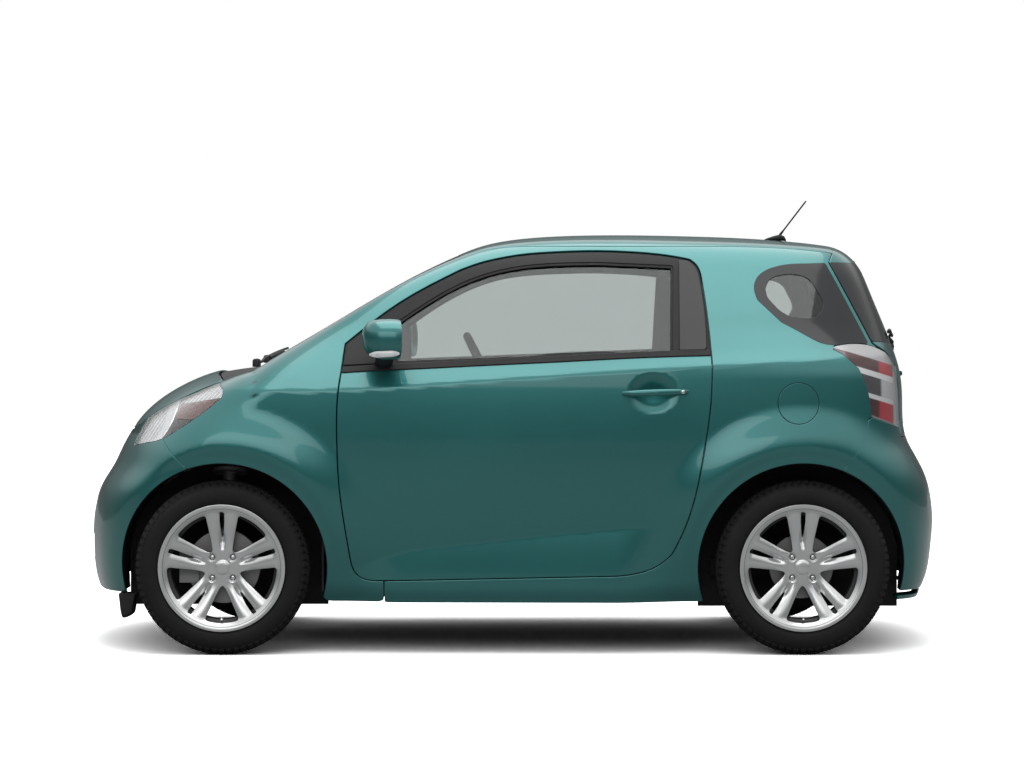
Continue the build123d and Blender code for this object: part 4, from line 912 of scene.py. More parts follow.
red, shader, s = finish("red_lens", (0.55, 0.01, 0.012), 0.1, Coat_Weight=1.0)
prism = s.node("TexVoronoi", Vector=s.here(), Scale=260.0)
feed(shader, Base_Color=prism.mix((0.50, 0.006, 0.010), (0.75, 0.02, 0.022)),
     Normal=s.bump(prism, 0.0006, 0.5))
stop_y = rear_y(np.linspace(-120, 120, 9), 1362.0)
piece("stop_lamp", tube(np.stack([np.linspace(-120, 120, 9), stop_y - 2, np.full(9, 1364.0)], -1),
                        [(5, 7)] * 9, 12), red, "tail_door")
arm_x = np.linspace(10, 340, 12)
arm_z = 1092 + 14 * np.sin(np.linspace(0, 2.6, 12))
arm = np.stack([arm_x, rear_y(arm_x, arm_z) + 15, arm_z], -1)
blade = arm[3:] + [0, -6, 12]
pivot_y = float(rear_y(np.array(8.0), np.array(1058.0)))
pivot = turned([(0.01, 22), (12, 20), (15, 14), (15, -8), (0.01, -8)], (8, pivot_y, 1058), "y", 28)
hub = tube([(8, pivot_y + 14, 1058), (9, pivot_y + 14, 1076), tuple(arm[0])], [9, 8, 6], 14)
piece("rear_wiper", joined(tube(arm, [(5, 6)] * 12, 12), tube(blade, [(6, 7)] * 9, 10), pivot, hub),
      black_trim, "tail_door", "black_plastic")
handle_x = np.linspace(-150, 150, 13)
handle_z = np.full(13, 962.0)
handle = np.stack([handle_x, rear_y(handle_x, handle_z) + 6, handle_z], -1)
piece("gate_handle", tube(handle, [(5 + 7 * math.sin(t), 9) for t in np.linspace(0.2, 2.94, 13)], 14),
      teal, "tail_door", "paint")


# Rear lamps: one clear moulding each, over red and silver chambers that step down the corner.
cluster, shader, s = finish("rear_lamp_lens", (0.6, 0.6, 0.6), 0.08, Coat_Weight=1.0, Coat_Roughness=0.03)
spot = s.node("SeparateXYZ", out=2, Vector=s.here())
back = s.node("SeparateXYZ", out=1, Vector=s.here())
level = spot + 0.29 * (back - 1.21)
ribbing = s.node("TexWave", {"bands_direction": "Z"}, Vector=s.here(), Scale=110.0)
bright_red = back.step(1.262, 1.275).mix((0.055, 0.008, 0.008), (0.42, 0.022, 0.035))
smoked = back.step(1.27, 1.282).mix(ribbing.mix((0.03, 0.03, 0.034), (0.075, 0.075, 0.08)),
                                    ribbing.mix((0.30, 0.31, 0.32), (0.62, 0.63, 0.64)))
colour = level.step(0.889, 0.893).mix(bright_red, (0.62, 0.63, 0.64))
colour = level.step(0.905, 0.909).mix(colour, smoked)
colour = level.step(0.966, 0.969).mix(colour, (0.66, 0.67, 0.68))
colour = level.step(0.985, 0.989).mix(colour, bright_red)
colour = level.step(1.026, 1.031).mix(colour, ribbing.mix((0.34, 0.34, 0.35), (0.52, 0.52, 0.53)))
rim_edge = (spot + 0.37 * (back - 1.24)).step(0.822, 0.828)
colour = rim_edge.mix((0.22, 0.21, 0.22), colour)
colour = back.step(1.322, 1.33).mix(colour, (0.46, 0.47, 0.48))
feed(shader, Base_Color=colour, Normal=s.bump(ribbing, 0.0008, 0.5), Roughness=0.06 + ribbing * 0.08)
lamp_patch = patch((30, 84), (8, 44), 0.4, 0.5)
tail = trim(lamp_patch, side(TAIL_LAMP, 2), outside(side(TAILGATE, -4)))
pieces = both("rear_lamp", hemmed(tail, 30), cluster, slot="red_lamp")
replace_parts(pieces[0], "tail_lamps")


# Headlamps: a clear moulding over a silver bowl with two round reflectors, an amber turn reflector
# low at the outside and a black mask below it.
bowl, shader, s = finish("lamp_bowl", (0.82, 0.83, 0.84), 0.22, 0.55)
rings = s.node("TexWave", {"wave_type": "RINGS", "rings_direction": "X"}, Vector=s.here(), Scale=28.0)
feed(shader, Base_Color=rings.mix((0.60, 0.61, 0.62), (0.78, 0.78, 0.79)), Roughness=0.2 + rings * 0.1,
     Normal=s.bump(rings, 0.001, 0.3))
amber, shader, s = finish("amber_reflector", (0.12, 0.022, 0.008), 0.2, Coat_Weight=0.6)
prism = s.node("TexVoronoi", Vector=s.here(), Scale=200.0)
feed(shader, Base_Color=prism.mix((0.075, 0.014, 0.006), (0.17, 0.03, 0.012)),
     Normal=s.bump(prism, 0.0005, 0.4))
lens_clear, shader, s = finish("headlamp_lens", (0.97, 0.975, 0.98), 0.0, Transmission_Weight=1.0, IOR=1.4)
feed(shader, Base_Color=s.noise(3.0).mix((0.955, 0.965, 0.97), (0.98, 0.985, 0.99)))
lamp_patch = patch((-86, -28), (8, 52), 0.4, 0.5)
lamp = trim(lamp_patch, side(HEADLAMP, 2),
            lambda p: -plan(BONNET)(p) - 6 - 20 * ramp(p[:, 1], -1180, -1110))
pieces = both("headlamp_lens", hemmed(lamp, 3, radius=1.5), lens_clear, slot="lamp")
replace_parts(pieces[0], "headlamps")
lamp_in = trim(lamp, side(HEADLAMP, 5))
AMBER = loop([(-1167, 815)], [(-1166, 849), (-1143, 863)], [(-1085, 874), (-1018, 884)],
             [(-1048, 856), (-1104, 813)])
MASK = loop([(-1232, 742)], [(-1196, 790), (-1175, 840), (-1160, 868)], [(-1120, 872)], [(-1012, 890)],
            [(-1000, 884)], [(-1040, 838), (-1110, 786), (-1180, 748)])
TUBE = loop([(-1262, 728)], [(-1224, 770), (-1210, 830), (-1205, 882)], [(-1168, 884)],
            [(-1176, 840), (-1196, 785), (-1230, 735)])
open_bowl = trim(lamp_in, outside(side(MASK)), outside(side(TUBE)))
both("lamp_bowl", hemmed(open_bowl, 3, 11, 0.5), bowl, slot="lamp")
both("lamp_tube", hemmed(trim(lamp_in, side(TUBE)), 8, 6, 5), chrome, slot="lamp")
both("lamp_mask", hemmed(trim(lamp_in, side(MASK)), 3, 9, 0.5), gloss_black, slot="black_plastic")
both("turn_reflector", hemmed(trim(lamp_in, side(AMBER)), 3, 5.5, 1), amber)


# Grille and plate of the front bumper: black slats set in the low opening, a sheet behind them and a blank
# plate.
def copying_tree(name, form, *inputs):
    """A tree that turns copies of a form at points into one mesh: its nodes, inputs and the copier."""
    tree = bpy.data.node_groups.new(name, "GeometryNodeTree")
    for label, kind, value in ((form, "Geometry", None), *inputs, ("Finish", "Material", None)):
        socket = tree.interface.new_socket(label, in_out="INPUT", socket_type="NodeSocket" + kind)
        if value is not None:
            socket.default_value = value
    tree.interface.new_socket("Copies", in_out="OUTPUT", socket_type="NodeSocketGeometry")
    nodes, link = tree.nodes, tree.links.new
    given, out = nodes.new("NodeGroupInput"), nodes.new("NodeGroupOutput")
    copy = nodes.new("GeometryNodeInstanceOnPoints")
    solid = nodes.new("GeometryNodeRealizeInstances")
    paint = nodes.new("GeometryNodeSetMaterial")
    link(given.outputs[form], copy.inputs["Instance"])
    link(copy.outputs[0], solid.inputs[0])
    link(solid.outputs[0], paint.inputs[0])
    link(given.outputs["Finish"], paint.inputs["Material"])
    link(paint.outputs[0], out.inputs[0])
    return tree, given, copy


def slat_tree():
    """A stack of slats: copies of a bar, up along Z, turned into one mesh."""
    tree, given, copy = copying_tree("slat_stack", "Bar", ("Count", "Int", 5), ("Pitch", "Float", 0.02))
    nodes, link = tree.nodes, tree.links.new
    line = nodes.new("GeometryNodeMeshLine")
    lift = nodes.new("ShaderNodeCombineXYZ")
    link(given.outputs["Count"], line.inputs["Count"])
    link(given.outputs["Pitch"], lift.inputs[2])
    link(lift.outputs[0], line.inputs["Offset"])
    link(line.outputs[0], copy.inputs["Points"])
    return tree


def grown_by(tree, name, form, body, paint, slot=None, flip=False, **values):
    """A plain mesh from a tree that copies the given form."""
    source = piece(name + "_source", form, paint, body, flip=flip)
    modifier = source.modifiers.new("copies", "NODES")
    modifier.node_group = tree
    for socket in tree.interface.items_tree:
        if socket.in_out == "INPUT" and socket.name in values:
            modifier[socket.identifier] = values[socket.name]
    settled = source.evaluated_get(bpy.context.evaluated_depsgraph_get())
    mesh = bpy.data.meshes.new_from_object(settled)
    source.modifiers.remove(modifier)
    bpy.data.objects.remove(source)
    made = bpy.data.objects.new(name, mesh)
    mesh.name = name
    scene.collection.objects.link(made)
    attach(made, body)
    return made


slat_x = np.linspace(-318, 318, 21)
slat_y = skin_met(1, -1500.0, (slat_x, np.full(21, 346.0))) + 22
slat = np.stack([slat_x, slat_y, np.full(21, 312.0)], -1)
slats = slat_tree()
grown_by(slats, "grille_slats", tube(slat, [(11, 3.2)] * 21, 12), "body", black_trim, "black_plastic",
         Count=5, Pitch=0.0165, Finish=black_trim)
grille_back = trim(nose_patch, front(loop([(-340, 396)], [(-312, 292)], [(312, 292)], [(340, 396)])))
piece("grille_back", hemmed(grille_back, 3, 42, 1, True), rubber)
front_plate = trim(nose_patch, front(PLATE, 2))
piece("plate_blank_front", hemmed(front_plate, 8, 1.5, 1, True), plate_paint)


# Aerial: a rubber-coated whip on a small foot at the back of the roof.
foot = loft([((0, 921, 1448), 3, 2, 0), ((0, 935, 1452), 9, 5, 0), ((0, 958, 1456), 14, 9, 0),
             ((0, 982, 1459), 15, 12, 0), ((0, 998, 1456), 12, 9, 0), ((0, 1005, 1449), 5, 4, 0)])
mast = np.array([(0, 983 + 96 * t, 1469 + 125 * t) for t in np.linspace(0, 1, 14)])
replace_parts(piece("aerial", joined(foot, tube(mast, [5, 4.2] + [2.9] * 11 + [2.4], 12)), rubber,
                  slot="black_plastic"), "antenna")


# Wipers: two black arms parked along the foot of the windscreen.
for name, start, end in (("wiper_left", 470, -80), ("wiper_right", -60, -520)):
    x = np.linspace(start, end, 16)
    y = -905 + 75 * np.linspace(0, 1, 16)**0.6
    arm = np.stack([x, y, skin_met(2, 1200.0, (x, y)) + 17], -1)
    x = np.linspace(start - 60, end - 20, 20)
    y = -868 + 32 * np.sin(np.linspace(0.2, 2.6, 20))
    blade = np.stack([x, y, skin_met(2, 1200.0, (x, y)) + 8], -1)
    knob = turned([(0.01, 16), (11, 14), (15, 8), (15, -14), (0.01, -14)],
                  (start, -905, float(arm[0][2])), "z", 24)
    piece(name, joined(tube(arm, [(6 - 0.2 * i, 4.5) for i in range(16)], 12), tube(blade, [(5, 6)] * 20, 10),
                       knob), black_trim, slot="black_plastic")


# Wheels: cast alloy, five twin spokes dished in from the rim, four nuts, a blank centre cap, and
# behind them a steel brake disc. Each wheel's face is cut from one dished sheet.
SPOKE_TURN = math.radians(72)
LUG_REACH = 50
LUG_TURNS = np.radians([45, 135, 225, 315])


def wheel_rule(points):
    y, z = points[:, 1], points[:, 2]
    radius, angle = np.hypot(y, z), np.arctan2(y, z)
    angle = angle - np.round(angle / SPOKE_TURN) * SPOKE_TURN
    a, b = radius * np.cos(angle), np.abs(radius * np.sin(angle))
    arms = 32 + 0.195 * (a - 62) - b
    solid = smooth_max(smooth_max(arms, 60 - radius, 14), radius - 190, 14)
    slot = np.minimum(9.5 * np.clip((a - 98) / 60, 0, 1)**0.6 - b, 193 - radius)
    slot = np.where(a > 98, slot, -9)
    keep = np.minimum(solid, -slot)
    for turn in LUG_TURNS:
        keep = np.minimum(keep, np.hypot(y - LUG_REACH * math.cos(turn), z - LUG_REACH * math.sin(turn)) - 14)
    return keep


def wheel_height(y, z):
    """How far out from the wheel's middle plane its face stands."""
    radius, angle = np.hypot(y, z), np.arctan2(y, z)
    angle = angle - np.round(angle / SPOKE_TURN) * SPOKE_TURN
    a, b = radius * np.cos(angle), np.abs(radius * np.sin(angle))
    middle, half = (9 + 32 + 0.195 * (a - 62)) / 2, np.maximum((23 + 0.195 * (a - 62)) / 2, 8)
    crest = -5.5 * np.clip((b - middle) / half, -1.3, 1.3)**2
    crest = crest * ramp(radius, 60, 110) * (1 - ramp(radius, 180, 196))
    groove = -9 * (1 - ramp(b, 2, 13)) * ramp(radius, 52, 92) * (1 - ramp(radius, 100, 130))
    return 42 + 34 * ramp(radius, 50, 215) + crest + groove + 6 * ramp(radius, 192, 204)


alloy, shader, s = finish("alloy_silver", (0.68, 0.685, 0.69), 0.3, 0.85, Coat_Weight=0.4, Coat_Roughness=0.1)
cast = s.noise(1200.0, 2.0)
feed(shader, Base_Color=s.noise(6.0, 3.0).mix((0.60, 0.605, 0.61), (0.76, 0.765, 0.77)),
     Roughness=0.25 + s.noise(14.0) * 0.1, Normal=s.bump(cast, 0.00003, 0.5))
tyre_rubber, shader, s = finish("tyre_rubber", (0.012, 0.012, 0.012), 0.75, Specular_IOR_Level=0.25)
here = s.here()
place_y = s.node("SeparateXYZ", out=1, Vector=here)
place_z = s.node("SeparateXYZ", out=2, Vector=here)
gap = s.math("ABSOLUTE", place_y) - 1.0
reach = s.math("SQRT", gap * gap + (place_z - 0.3) * (place_z - 0.3))
hoops = s.math("SINE", reach * 1400.0) * reach.step(0.232, 0.238) * (1 - reach.step(0.262, 0.268))
feed(shader, Base_Color=s.noise(9.0, 4.0).mix((0.006, 0.006, 0.0065), (0.015, 0.015, 0.016)),
     Roughness=0.62 + s.noise(35.0) * 0.2, Normal=s.bump(hoops + s.noise(800.0) * 0.4, 0.0004, 0.5))
# The wheel barrels are alloy but painted near black: painted shade for the shadow inside each wheel.
barrel_painted_shade, shader, s = finish("barrel_painted_shade", (0.07, 0.07, 0.072), 0.5, 0.6)
feed(shader, Base_Color=s.noise(12.0, 3.0).mix((0.045, 0.045, 0.047), (0.09, 0.09, 0.093)),
     Roughness=0.42 + s.noise(60.0) * 0.15)
disc_steel, shader, s = finish("disc_steel", (0.30, 0.30, 0.31), 0.35, 0.9)
swirl = s.noise(500.0)
feed(shader, Base_Color=s.noise(20.0, 4.0).mix((0.2, 0.19, 0.18), (0.36, 0.36, 0.37)),
     Roughness=0.3 + swirl * 0.2, Normal=s.bump(swirl, 0.0001, 0.4))


def ring_tree():
    """Copies of a block set round the X axis through a centre, turned into one mesh."""
    tree, given, copy = copying_tree("ring_of_blocks", "Block", ("Count", "Int", 4),
                                     ("Centre", "Vector", None))
    nodes, link = tree.nodes, tree.links.new
    dots = nodes.new("GeometryNodePoints")
    order = nodes.new("GeometryNodeInputIndex")
    share, turn = nodes.new("ShaderNodeMath"), nodes.new("ShaderNodeMath")
    share.operation, turn.operation = "DIVIDE", "MULTIPLY"
    turn.inputs[1].default_value = 2 * math.pi
    lean = nodes.new("ShaderNodeCombineXYZ")
    link(given.outputs["Count"], dots.inputs["Count"])
    link(given.outputs["Centre"], dots.inputs["Position"])
    link(dots.outputs[0], copy.inputs["Points"])
    link(order.outputs[0], share.inputs[0])
    link(given.outputs["Count"], share.inputs[1])
    link(share.outputs[0], turn.inputs[0])
    link(turn.outputs[0], lean.inputs[0])
    link(lean.outputs[0], copy.inputs["Rotation"])
    return tree


def brick(x, low, high, half, skew):
    """A tread block: a tapered six-sided solid at the top of the tyre, from x[0] to x[1]."""
    points = []
    for radius, inset in ((low, 0), (high, 1.2)):
        for i, at in enumerate(x):
            edge = inset if i else -inset
            for end in (-1, 1):
                points.append([at - edge, skew * at + end * (half - inset), radius[i]])
    return points, [[0, 1, 3, 2], [4, 6, 7, 5], [0, 4, 5, 1], [2, 3, 7, 6], [0, 2, 6, 4], [1, 5, 7, 3]]


rings = ring_tree()
tread = joined(*(brick(x, (290, 290), high, half, skew) for x, high, half, skew in (
    ((-54, -36), (298.2, 299.3), 11.4, 0.12), ((-30, -5), (298.9, 299.3), 10.8, 0.35),
    ((5, 30), (299.3, 298.9), 10.8, 0.35), ((36, 54), (299.3, 298.2), 11.4, 0.12))))
shoulder = joined(*(brick(x, low, high, 9, 0.0) for x, low, high in (
    ((-79, -57), (268, 286), (283, 297.5)), ((57, 79), (286, 268), (297.5, 283)))))
tread = joined(tread, shoulder)
CARCASS = [(203, -76), (219, -77.5), (224, -83), (236, -87.5), (250, -87.5), (262, -86), (272, -82),
           (284, -72), (291, -56), (292, -36), (291, -33), (292, -30), (292, -3), (291, 0)]
CARCASS = CARCASS + [(r, -x) for r, x in reversed(CARCASS[:-1])]
BARREL = [(218, 86), (218, 79), (203, 77), (202, 62), (186, 50), (183, 0), (200, -42), (202, -77), (218, -79),
          (218, -86), (212, -87), (197, -78), (195, -44), (177, -2), (179, 46), (192, 58), (196, 74),
          (206, 84), (213, 87)]
LIP = [(218.5, 86.6), (218.5, 80), (203.5, 80), (204.5, 84.5), (213, 87.8)]
across_face, round_face = np.meshgrid(np.linspace(25, 206, 40), np.linspace(0, 2 * math.pi, 221)[:-1],
                                      indexing="ij")
face_y, face_z = across_face * np.cos(round_face), across_face * np.sin(round_face)
face_points = np.stack([wheel_height(face_y, face_z), face_y, face_z], -1).reshape(-1, 3)
first = (np.arange(39)[:, None] * 220 + np.arange(220)).ravel()
beside = (np.arange(39)[:, None] * 220 + (np.arange(220) + 1) % 220).ravel()
face_faces = np.concatenate([np.stack([first, first + 220, beside + 220], 1),
                             np.stack([first, beside + 220, beside], 1)])
face = hemmed(trim((face_points, face_faces), wheel_rule, settle=False), 20, radius=3.2, on_body=False)
for end, wheel_y, disc_radius in (("front", -1000, 126), ("rear", 1000, 110)):
    for hand, flip in (("left", False), ("right", True)):
        body = "wheel_" + end + "_" + hand
        name = end + "_" + hand
        centre = np.array([735, wheel_y, 300])
        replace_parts(piece("spokes_" + name, (face[0] + centre, face[1], face[2]), alloy, body, "alloy", flip),
                    "rim_" + name)
        piece("barrel_" + name, turned(BARREL, centre, sides=128, ring=True), barrel_painted_shade, body,
              "alloy", flip)
        piece("rim_lip_" + name, turned(LIP, centre, sides=128, ring=True), alloy, body, "alloy", flip)
        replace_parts(piece("tyre_" + name, turned(CARCASS, centre, sides=144, ring=True), tyre_rubber, body,
                          "rubber", flip), "tyre_" + name)
        block = (np.array(tread[0]) + [centre[0], 0, 0], tread[1])
        grown_by(rings, "tread_" + name, block, body, tyre_rubber, "rubber", flip,
                 Count=70, Centre=(0, wheel_y / 1000, 0.3), Finish=tyre_rubber)
        cap = [(0.01, 47), (14, 46.5), (22, 45), (26.5, 42), (27, 39), (27, 20), (0.01, 20)]
        cups = [turned([(14.5, 41), (17.5, 43.5), (17.8, 41), (15.5, 24), (0.01, 22), (0.01, 26), (12.5, 27)],
                       centre + [0, LUG_REACH * math.cos(t), LUG_REACH * math.sin(t)], sides=32)
                for t in LUG_TURNS]
        piece("cap_" + name, joined(turned(cap, centre, sides=64), *cups), alloy, body, "alloy", flip)
        nuts = [turned([(0.01, 39), (5, 39), (8, 37), (9.6, 33), (9.6, 25), (0.01, 25)],
                       centre + [0, LUG_REACH * math.cos(t), LUG_REACH * math.sin(t)], sides=6)
                for t in LUG_TURNS]
        valve = tube([(792, wheel_y, 116), (800, wheel_y, 120), (812, wheel_y, 124)], [4, 4, 3], 12)
        piece("nuts_" + name, joined(*nuts, valve), chrome, body, flip=flip)
        edge = disc_radius + 1
        disc = [(22, -9), (62, -9), (62, -12), (edge - 1, -12), (edge, -13), (edge, -17), (edge - 5, -18),
                (edge - 5, -21), (edge, -22), (edge, -26), (22, -26)]
        hat = [(22, -8.5), (61, -8.5), (61, 12), (57, 16), (22, 16)]
        brake = joined(turned(disc, centre, sides=96, ring=True), turned(hat, centre, sides=64, ring=True))
        piece("brake_disc_" + name, brake, disc_steel, body, flip=flip)


# Wheel housings: black moulded liners inside the arches, a rubber air flap ahead of each front
# wheel, and a folded sill seam under each door.
def plate(grid, thick):
    """A closed plate from a grid of points, with its thickness to the grid's back."""
    grid = np.asarray(grid, float)
    rows, columns = grid.shape[:2]
    slope = np.cross(np.gradient(grid, axis=0), np.gradient(grid, axis=1))
    slope /= np.maximum(np.linalg.norm(slope, axis=-1, keepdims=True), 1e-9)
    points = np.concatenate([grid.reshape(-1, 3), (grid - slope * thick).reshape(-1, 3)])
    count = rows * columns
    first = (np.arange(rows - 1)[:, None] * columns + np.arange(columns - 1)).ravel()
    top = np.stack([first, first + columns, first + columns + 1, first + 1], 1)
    rim = [i * columns for i in range(rows)] + [(rows - 1) * columns + j for j in range(1, columns)]
    rim += [i * columns + columns - 1 for i in range(rows - 2, -1, -1)] + list(range(columns - 2, 0, -1))
    walls = [[a, a + count, b + count, b] for a, b in zip(rim, rim[1:] + rim[:1])]
    return points, top.tolist() + (top[:, ::-1] + count).tolist() + walls


underseal, shader, s = finish("underseal", (0.012, 0.012, 0.012), 0.8)
stipple = s.noise(240.0, 4.0)
feed(shader, Base_Color=s.noise(4.0, 4.0).mix((0.008, 0.008, 0.008), (0.024, 0.023, 0.022)),
     Roughness=0.65 + stipple * 0.3, Normal=s.bump(stipple, 0.001, 0.6))
post_z = np.linspace(215, 950, 22)
post = [[(x, -651 + 5 * math.sin((x - 600) / 40), z) for x in np.linspace(560, 742, 12)] for z in post_z]
both("hinge_post", plate(post, 6), underseal)
for end, wheel_y in (("front", -1000), ("rear", 1000)):
    turn = np.radians(np.linspace(-14, 194, 61))
    y, z = wheel_y + 358 * np.cos(turn), 300 + 358 * np.sin(turn)
    edge = skin_x(y, np.maximum(z, 215)) - 16
    share = np.linspace(0, 1, 9)
    ribs = 3 * np.cos(np.arange(61) * math.pi / 2)[:, None] * (share[None] < 0.8)
    inside = 560 if end == "rear" else 478
    x = inside + (edge[:, None] - inside) * share
    reach = 358 + ribs
    grid = np.stack([x, wheel_y + reach * np.cos(turn)[:, None], 300 + reach * np.sin(turn)[:, None]], -1)
    both("arch_liner_" + end, plate(grid, -3), black_trim, slot="black_plastic")
    wall_y = np.linspace(-350, 350, 31)[:, None]
    high = 298 + np.sqrt(356**2 - wall_y**2)
    wall_z = 150 + (high - 150) * np.linspace(0, 1, 13)
    bow = 4 * np.cos(wall_y / 40) * np.sin(np.linspace(0, math.pi, 13))
    both("arch_wall_" + end, plate(np.stack([inside + bow, wheel_y + wall_y + 0 * wall_z, wall_z], -1), 4),
         underseal)
FLAP = [(-1373, 200), (-1371, 186), (-1366, 140), (-1361, 120), (-1355, 115), (-1340, 119), (-1328, 125),
        (-1323, 131), (-1318, 160), (-1313, 186), (-1311, 200)]
spans = [(548, 0.86), (556, 0.97), (571, 1), (610, 1), (650, 1), (662, 0.97), (669, 0.86)]
flap = [(x, -1342 + (y + 1342) * size, 200 + (z - 200) * size) for x, size in spans for y, z in FLAP]
flap_faces = [[i * 11 + j, i * 11 + (j + 1) % 11, (i + 1) * 11 + (j + 1) % 11, (i + 1) * 11 + j]
              for i in range(6) for j in range(11)]
both("air_flap", (flap, flap_faces + [list(range(11)), list(range(66, 77))]), rubber)
seam_y = np.linspace(-625, 639, 23)
seam_path = np.stack([skin_x(seam_y, np.full(23, 215.0)) - 46, seam_y, np.full(23, 216.0)], -1)
seam = tube(seam_path, [(44, 20)] * 23, 16)
both("sill_seam", seam, black_trim, slot="black_plastic")


# Running gear and structure under the car: pressed and cast steel that is sprayed black, with a
# dull aluminium engine and radiator and a stainless exhaust.
cast_metal, shader, s = finish("cast_metal", (0.30, 0.30, 0.30), 0.5, 0.8)
sand = s.noise(420.0, 3.0)
feed(shader, Base_Color=s.noise(7.0, 4.0).mix((0.20, 0.20, 0.20), (0.42, 0.42, 0.43)),
     Roughness=0.4 + sand * 0.3, Normal=s.bump(sand, 0.0006, 0.5))
fins, shader, s = finish("radiator_core", (0.10, 0.10, 0.11), 0.5, 0.7)
comb = s.node("TexWave", {"bands_direction": "Z"}, Vector=s.here(), Scale=90.0)
feed(shader, Base_Color=comb.mix((0.03, 0.03, 0.03), (0.22, 0.22, 0.23)), Normal=s.bump(comb, 0.002, 0.8),
     Roughness=0.4 + comb * 0.2)
for names, paint in (("floor_pan front_frame rear_axle fuel_tank rear_panel firewall", underseal),
                     ("knuckle_left knuckle_right engine exhaust", cast_metal), ("radiator", fins)):
    for name in names.split():
        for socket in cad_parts[name].material_slots:
            socket.material = paint


# Cabin: a grained black dashboard and door cards, grey cloth seats, roof lining and carpet.
lining, shader, s = finish("roof_lining", (0.20, 0.20, 0.195), 0.95)
felt = s.noise(900.0, 3.0)
feed(shader, Base_Color=felt.mix((0.16, 0.16, 0.155), (0.27, 0.27, 0.26)), Roughness=0.88 + felt * 0.1,
     Normal=s.bump(felt, 0.0004, 0.5))
ceiling = trim(patch((-18, 66), (50, 90), 1.2, 1.6), plan(ROOF, 24))
piece("headlining", hemmed(ceiling, 5, 28, mirrored=True), lining)
inner = trim(patch((-24, 72), (-20, 64), 0.8, 1.4), side(BODY_SIDE, 20), outside(side(DOOR, -14)),
             outside(plan(SCREEN, -26)), outside(plan(ROOF, -8)), outside(side(TAILGATE, -10)),
             outside(side(REAR_BUMPER, -10)), outside(side(QUARTER_WINDOW, -16)),
             outside(side(TAIL_LAMP, -12)),
             beyond(2, 300), arch(400))
both("pillar_trim", hemmed(inner, 4, 27), black_trim, slot="black_plastic")
card = trim(patch((-22, 22), (-24, 34), 0.8, 1.4), side(DOOR, 44), outside(above_belt(-24)))
both("door_card", hemmed(card, 16, 56, 8), black_trim, HINGE_SIDE, "black_plastic")
rest_y = np.linspace(-260, 330, 19)
rest = np.stack([skin_x(rest_y, np.full(19, 760.0)) - 84, rest_y, 745 + 0.0002 * (rest_y - 30)**2], -1)
both("arm_rest", tube(rest, [(18 * t, 15) for t in np.sin(np.linspace(0.35, 2.8, 19))], 16), black_trim,
     HINGE_SIDE, "black_plastic")
profile = np.array([(-684, 655), (-686, 860), (-660, 950), (-600, 984), (-520, 990), (-430, 984), (-350, 960),
                    (-318, 925), (-306, 880), (-322, 800), (-350, 730), (-400, 676), (-480, 656)])
spans = np.linspace(-596, 596, 41)
board = []
for x in spans:
    shrink = 1 - 0.05 * (abs(x) / 596)**6
    hood = 16 * math.exp(-((x - 360) / 130)**2)
    board.append([(x, -684 + (y + 684) * shrink, z + (hood if z > 940 and y > -560 else 0))
                  for y, z in profile])
board = np.array(board)
board_faces = [[i * 13 + j, i * 13 + (j + 1) % 13, (i + 1) * 13 + (j + 1) % 13, (i + 1) * 13 + j]
               for i in range(40) for j in range(13)]
board_faces += [list(range(13)), list(range(40 * 13, 41 * 13))]
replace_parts(piece("dash_board", (board.reshape(-1, 3), board_faces), black_trim, slot="black_plastic"),
            "dashboard")


def leaned(form, centre, degrees):
    """The form turned about a line along X through a centre."""
    points = np.array(form[0], float) - centre
    c, s_ = math.cos(math.radians(degrees)), math.sin(math.radians(degrees))
    return points @ np.array([[1, 0, 0], [0, c, s_], [0, -s_, c]]) + centre, form[1]


column = np.array([360, -85, 945])
grip = turned([(170 + 14 * math.cos(t), 14 * math.sin(t)) for t in np.linspace(0, 2 * math.pi, 17)[:-1]],
              column, "y", 72, ring=True)
bars = [tube([column + [0, -8, 0], column + [60 * x, -6, 60 * z], column + [168 * x, 0, 168 * z]],
             [(20, 8), (14, 7), (12, 7)], 14) for x, z in ((1, 0.1), (-1, 0.1), (0, -1))]
boss = turned([(0.01, 14), (34, 12), (52, 4), (57, -10), (54, -30), (0.01, -36)], column, "y", 40)
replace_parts(piece("wheel_rim", leaned(joined(grip, *bars, boss), column, 27), black_trim, "wheel_grip",
                  "black_plastic"), "steering_wheel")
cloth, shader, s = finish("seat_cloth", (0.045, 0.046, 0.05), 0.9, Sheen_Weight=0.3)
weave = s.node("TexWave", {"bands_direction": "Z"}, Vector=s.here(), Scale=160.0, Distortion=1.5)
warp = s.node("TexWave", {"bands_direction": "X"}, Vector=s.here(), Scale=160.0, Distortion=1.5)
threads = weave * warp
feed(shader, Base_Color=threads.mix((0.03, 0.031, 0.034), (0.085, 0.087, 0.092)),
     Roughness=0.85 + threads * 0.1, Normal=s.bump(threads, 0.0008, 0.6))


def cushion(name, x, sections, lean=0.0, centre=(0, 0, 0)):
    """A crowned pad through sections of (y, z, half width, half thickness), smoothed."""
    form = loft([((x, y, z), wide, thick, 0) for y, z, wide, thick in sections], 36, 3.6)
    made = piece(name, leaned(form, np.array(centre, float), lean) if lean else form, cloth, slot="fabric")
    smooth = made.modifiers.new("smooth", "SUBSURF")
    smooth.levels = smooth.render_levels = 1
    return made


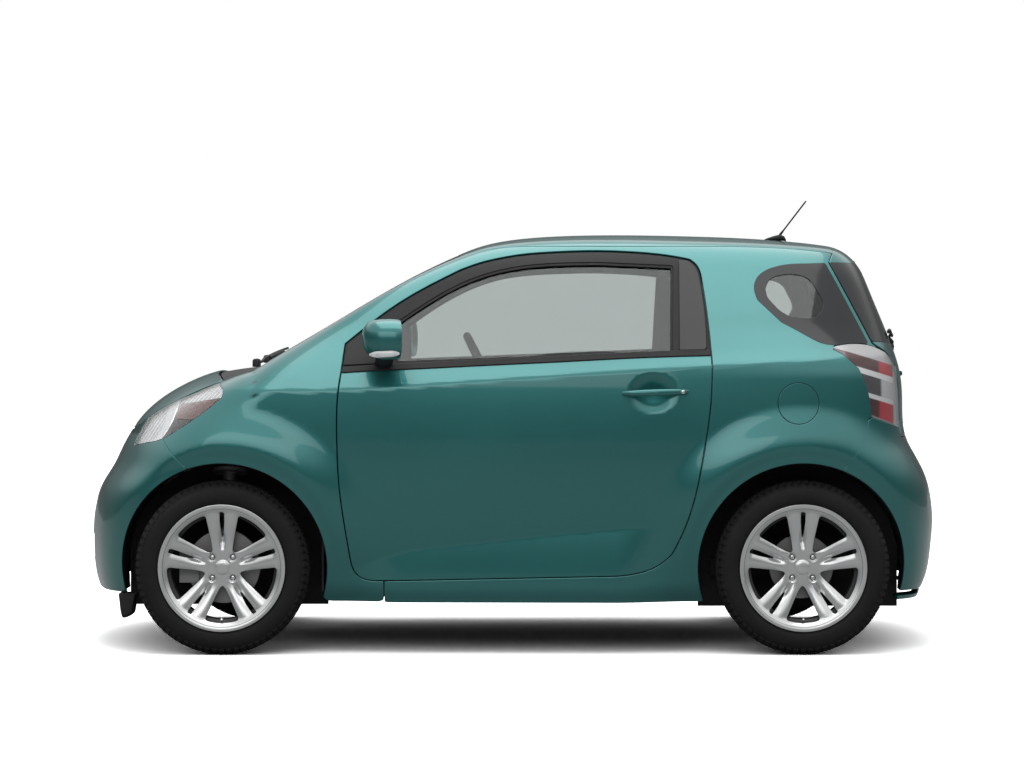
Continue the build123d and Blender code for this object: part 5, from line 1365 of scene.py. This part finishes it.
for hand, sign in (("left", 1), ("right", -1)):
    x = 345 * sign
    seat = cushion("seat_base_" + hand, x, [(38, 420, 150, 40), (52, 420, 205, 66), (110, 425, 226, 78),
                                            (250, 424, 232, 80), (400, 414, 230, 78), (500, 408, 215, 66),
                                            (522, 405, 160, 40)])
    if sign > 0:
        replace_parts(seat, "front_seats")
    hinge = (x, 520, 470)
    cushion("seat_back_" + hand, x, [(528, 470, 150, 34), (545, 470, 205, 54), (640, 466, 222, 62),
                                     (800, 462, 220, 60), (960, 466, 206, 56), (1060, 470, 178, 48),
                                     (1084, 472, 120, 26)], 72, hinge)
    cushion("head_rest_" + hand, x, [(1132, 482, 70, 22), (1144, 482, 104, 36), (1200, 480, 116, 42),
                                     (1260, 482, 104, 38), (1278, 484, 66, 22)], 76, hinge)
    posts = joined(*(tube([(x + d, 1050, 470), (x + d, 1100, 476), (x + d, 1150, 480)], [6, 6, 6], 12)
                     for d in (-70, 70)))
    piece("head_posts_" + hand, leaned(posts, np.array(hinge, float), 74), chrome)
    x = 262 * sign
    rear = cushion("rear_base_" + hand, x, [(780, 430, 170, 30), (800, 436, 236, 58), (900, 438, 244, 64),
                                            (1020, 432, 244, 62), (1080, 426, 200, 44)])
    if sign > 0:
        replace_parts(rear, "rear_seat")
    cushion("rear_back_" + hand, x, [(1075, 470, 170, 22), (1092, 470, 236, 40), (1250, 470, 244, 44),
                                     (1420, 472, 240, 42), (1530, 474, 226, 36), (1552, 476, 160, 20)],
            84, (x, 1090, 470))
carpet, shader, s = finish("carpet", (0.02, 0.02, 0.021), 0.98)
pile = s.noise(600.0, 4.0)
feed(shader, Base_Color=pile.mix((0.010, 0.010, 0.011), (0.042, 0.042, 0.044)), Roughness=0.92 + pile * 0.08,
     Normal=s.bump(pile, 0.002, 0.8))
mat_grid = [[(x, y, 216 + (80 if abs(x) < 62 else 0) + 2 * math.sin(y / 40))
             for x in np.linspace(-630, 630, 43)] for y in np.linspace(-640, 620, 22)]
piece("floor_carpet", plate(mat_grid, -3), carpet)
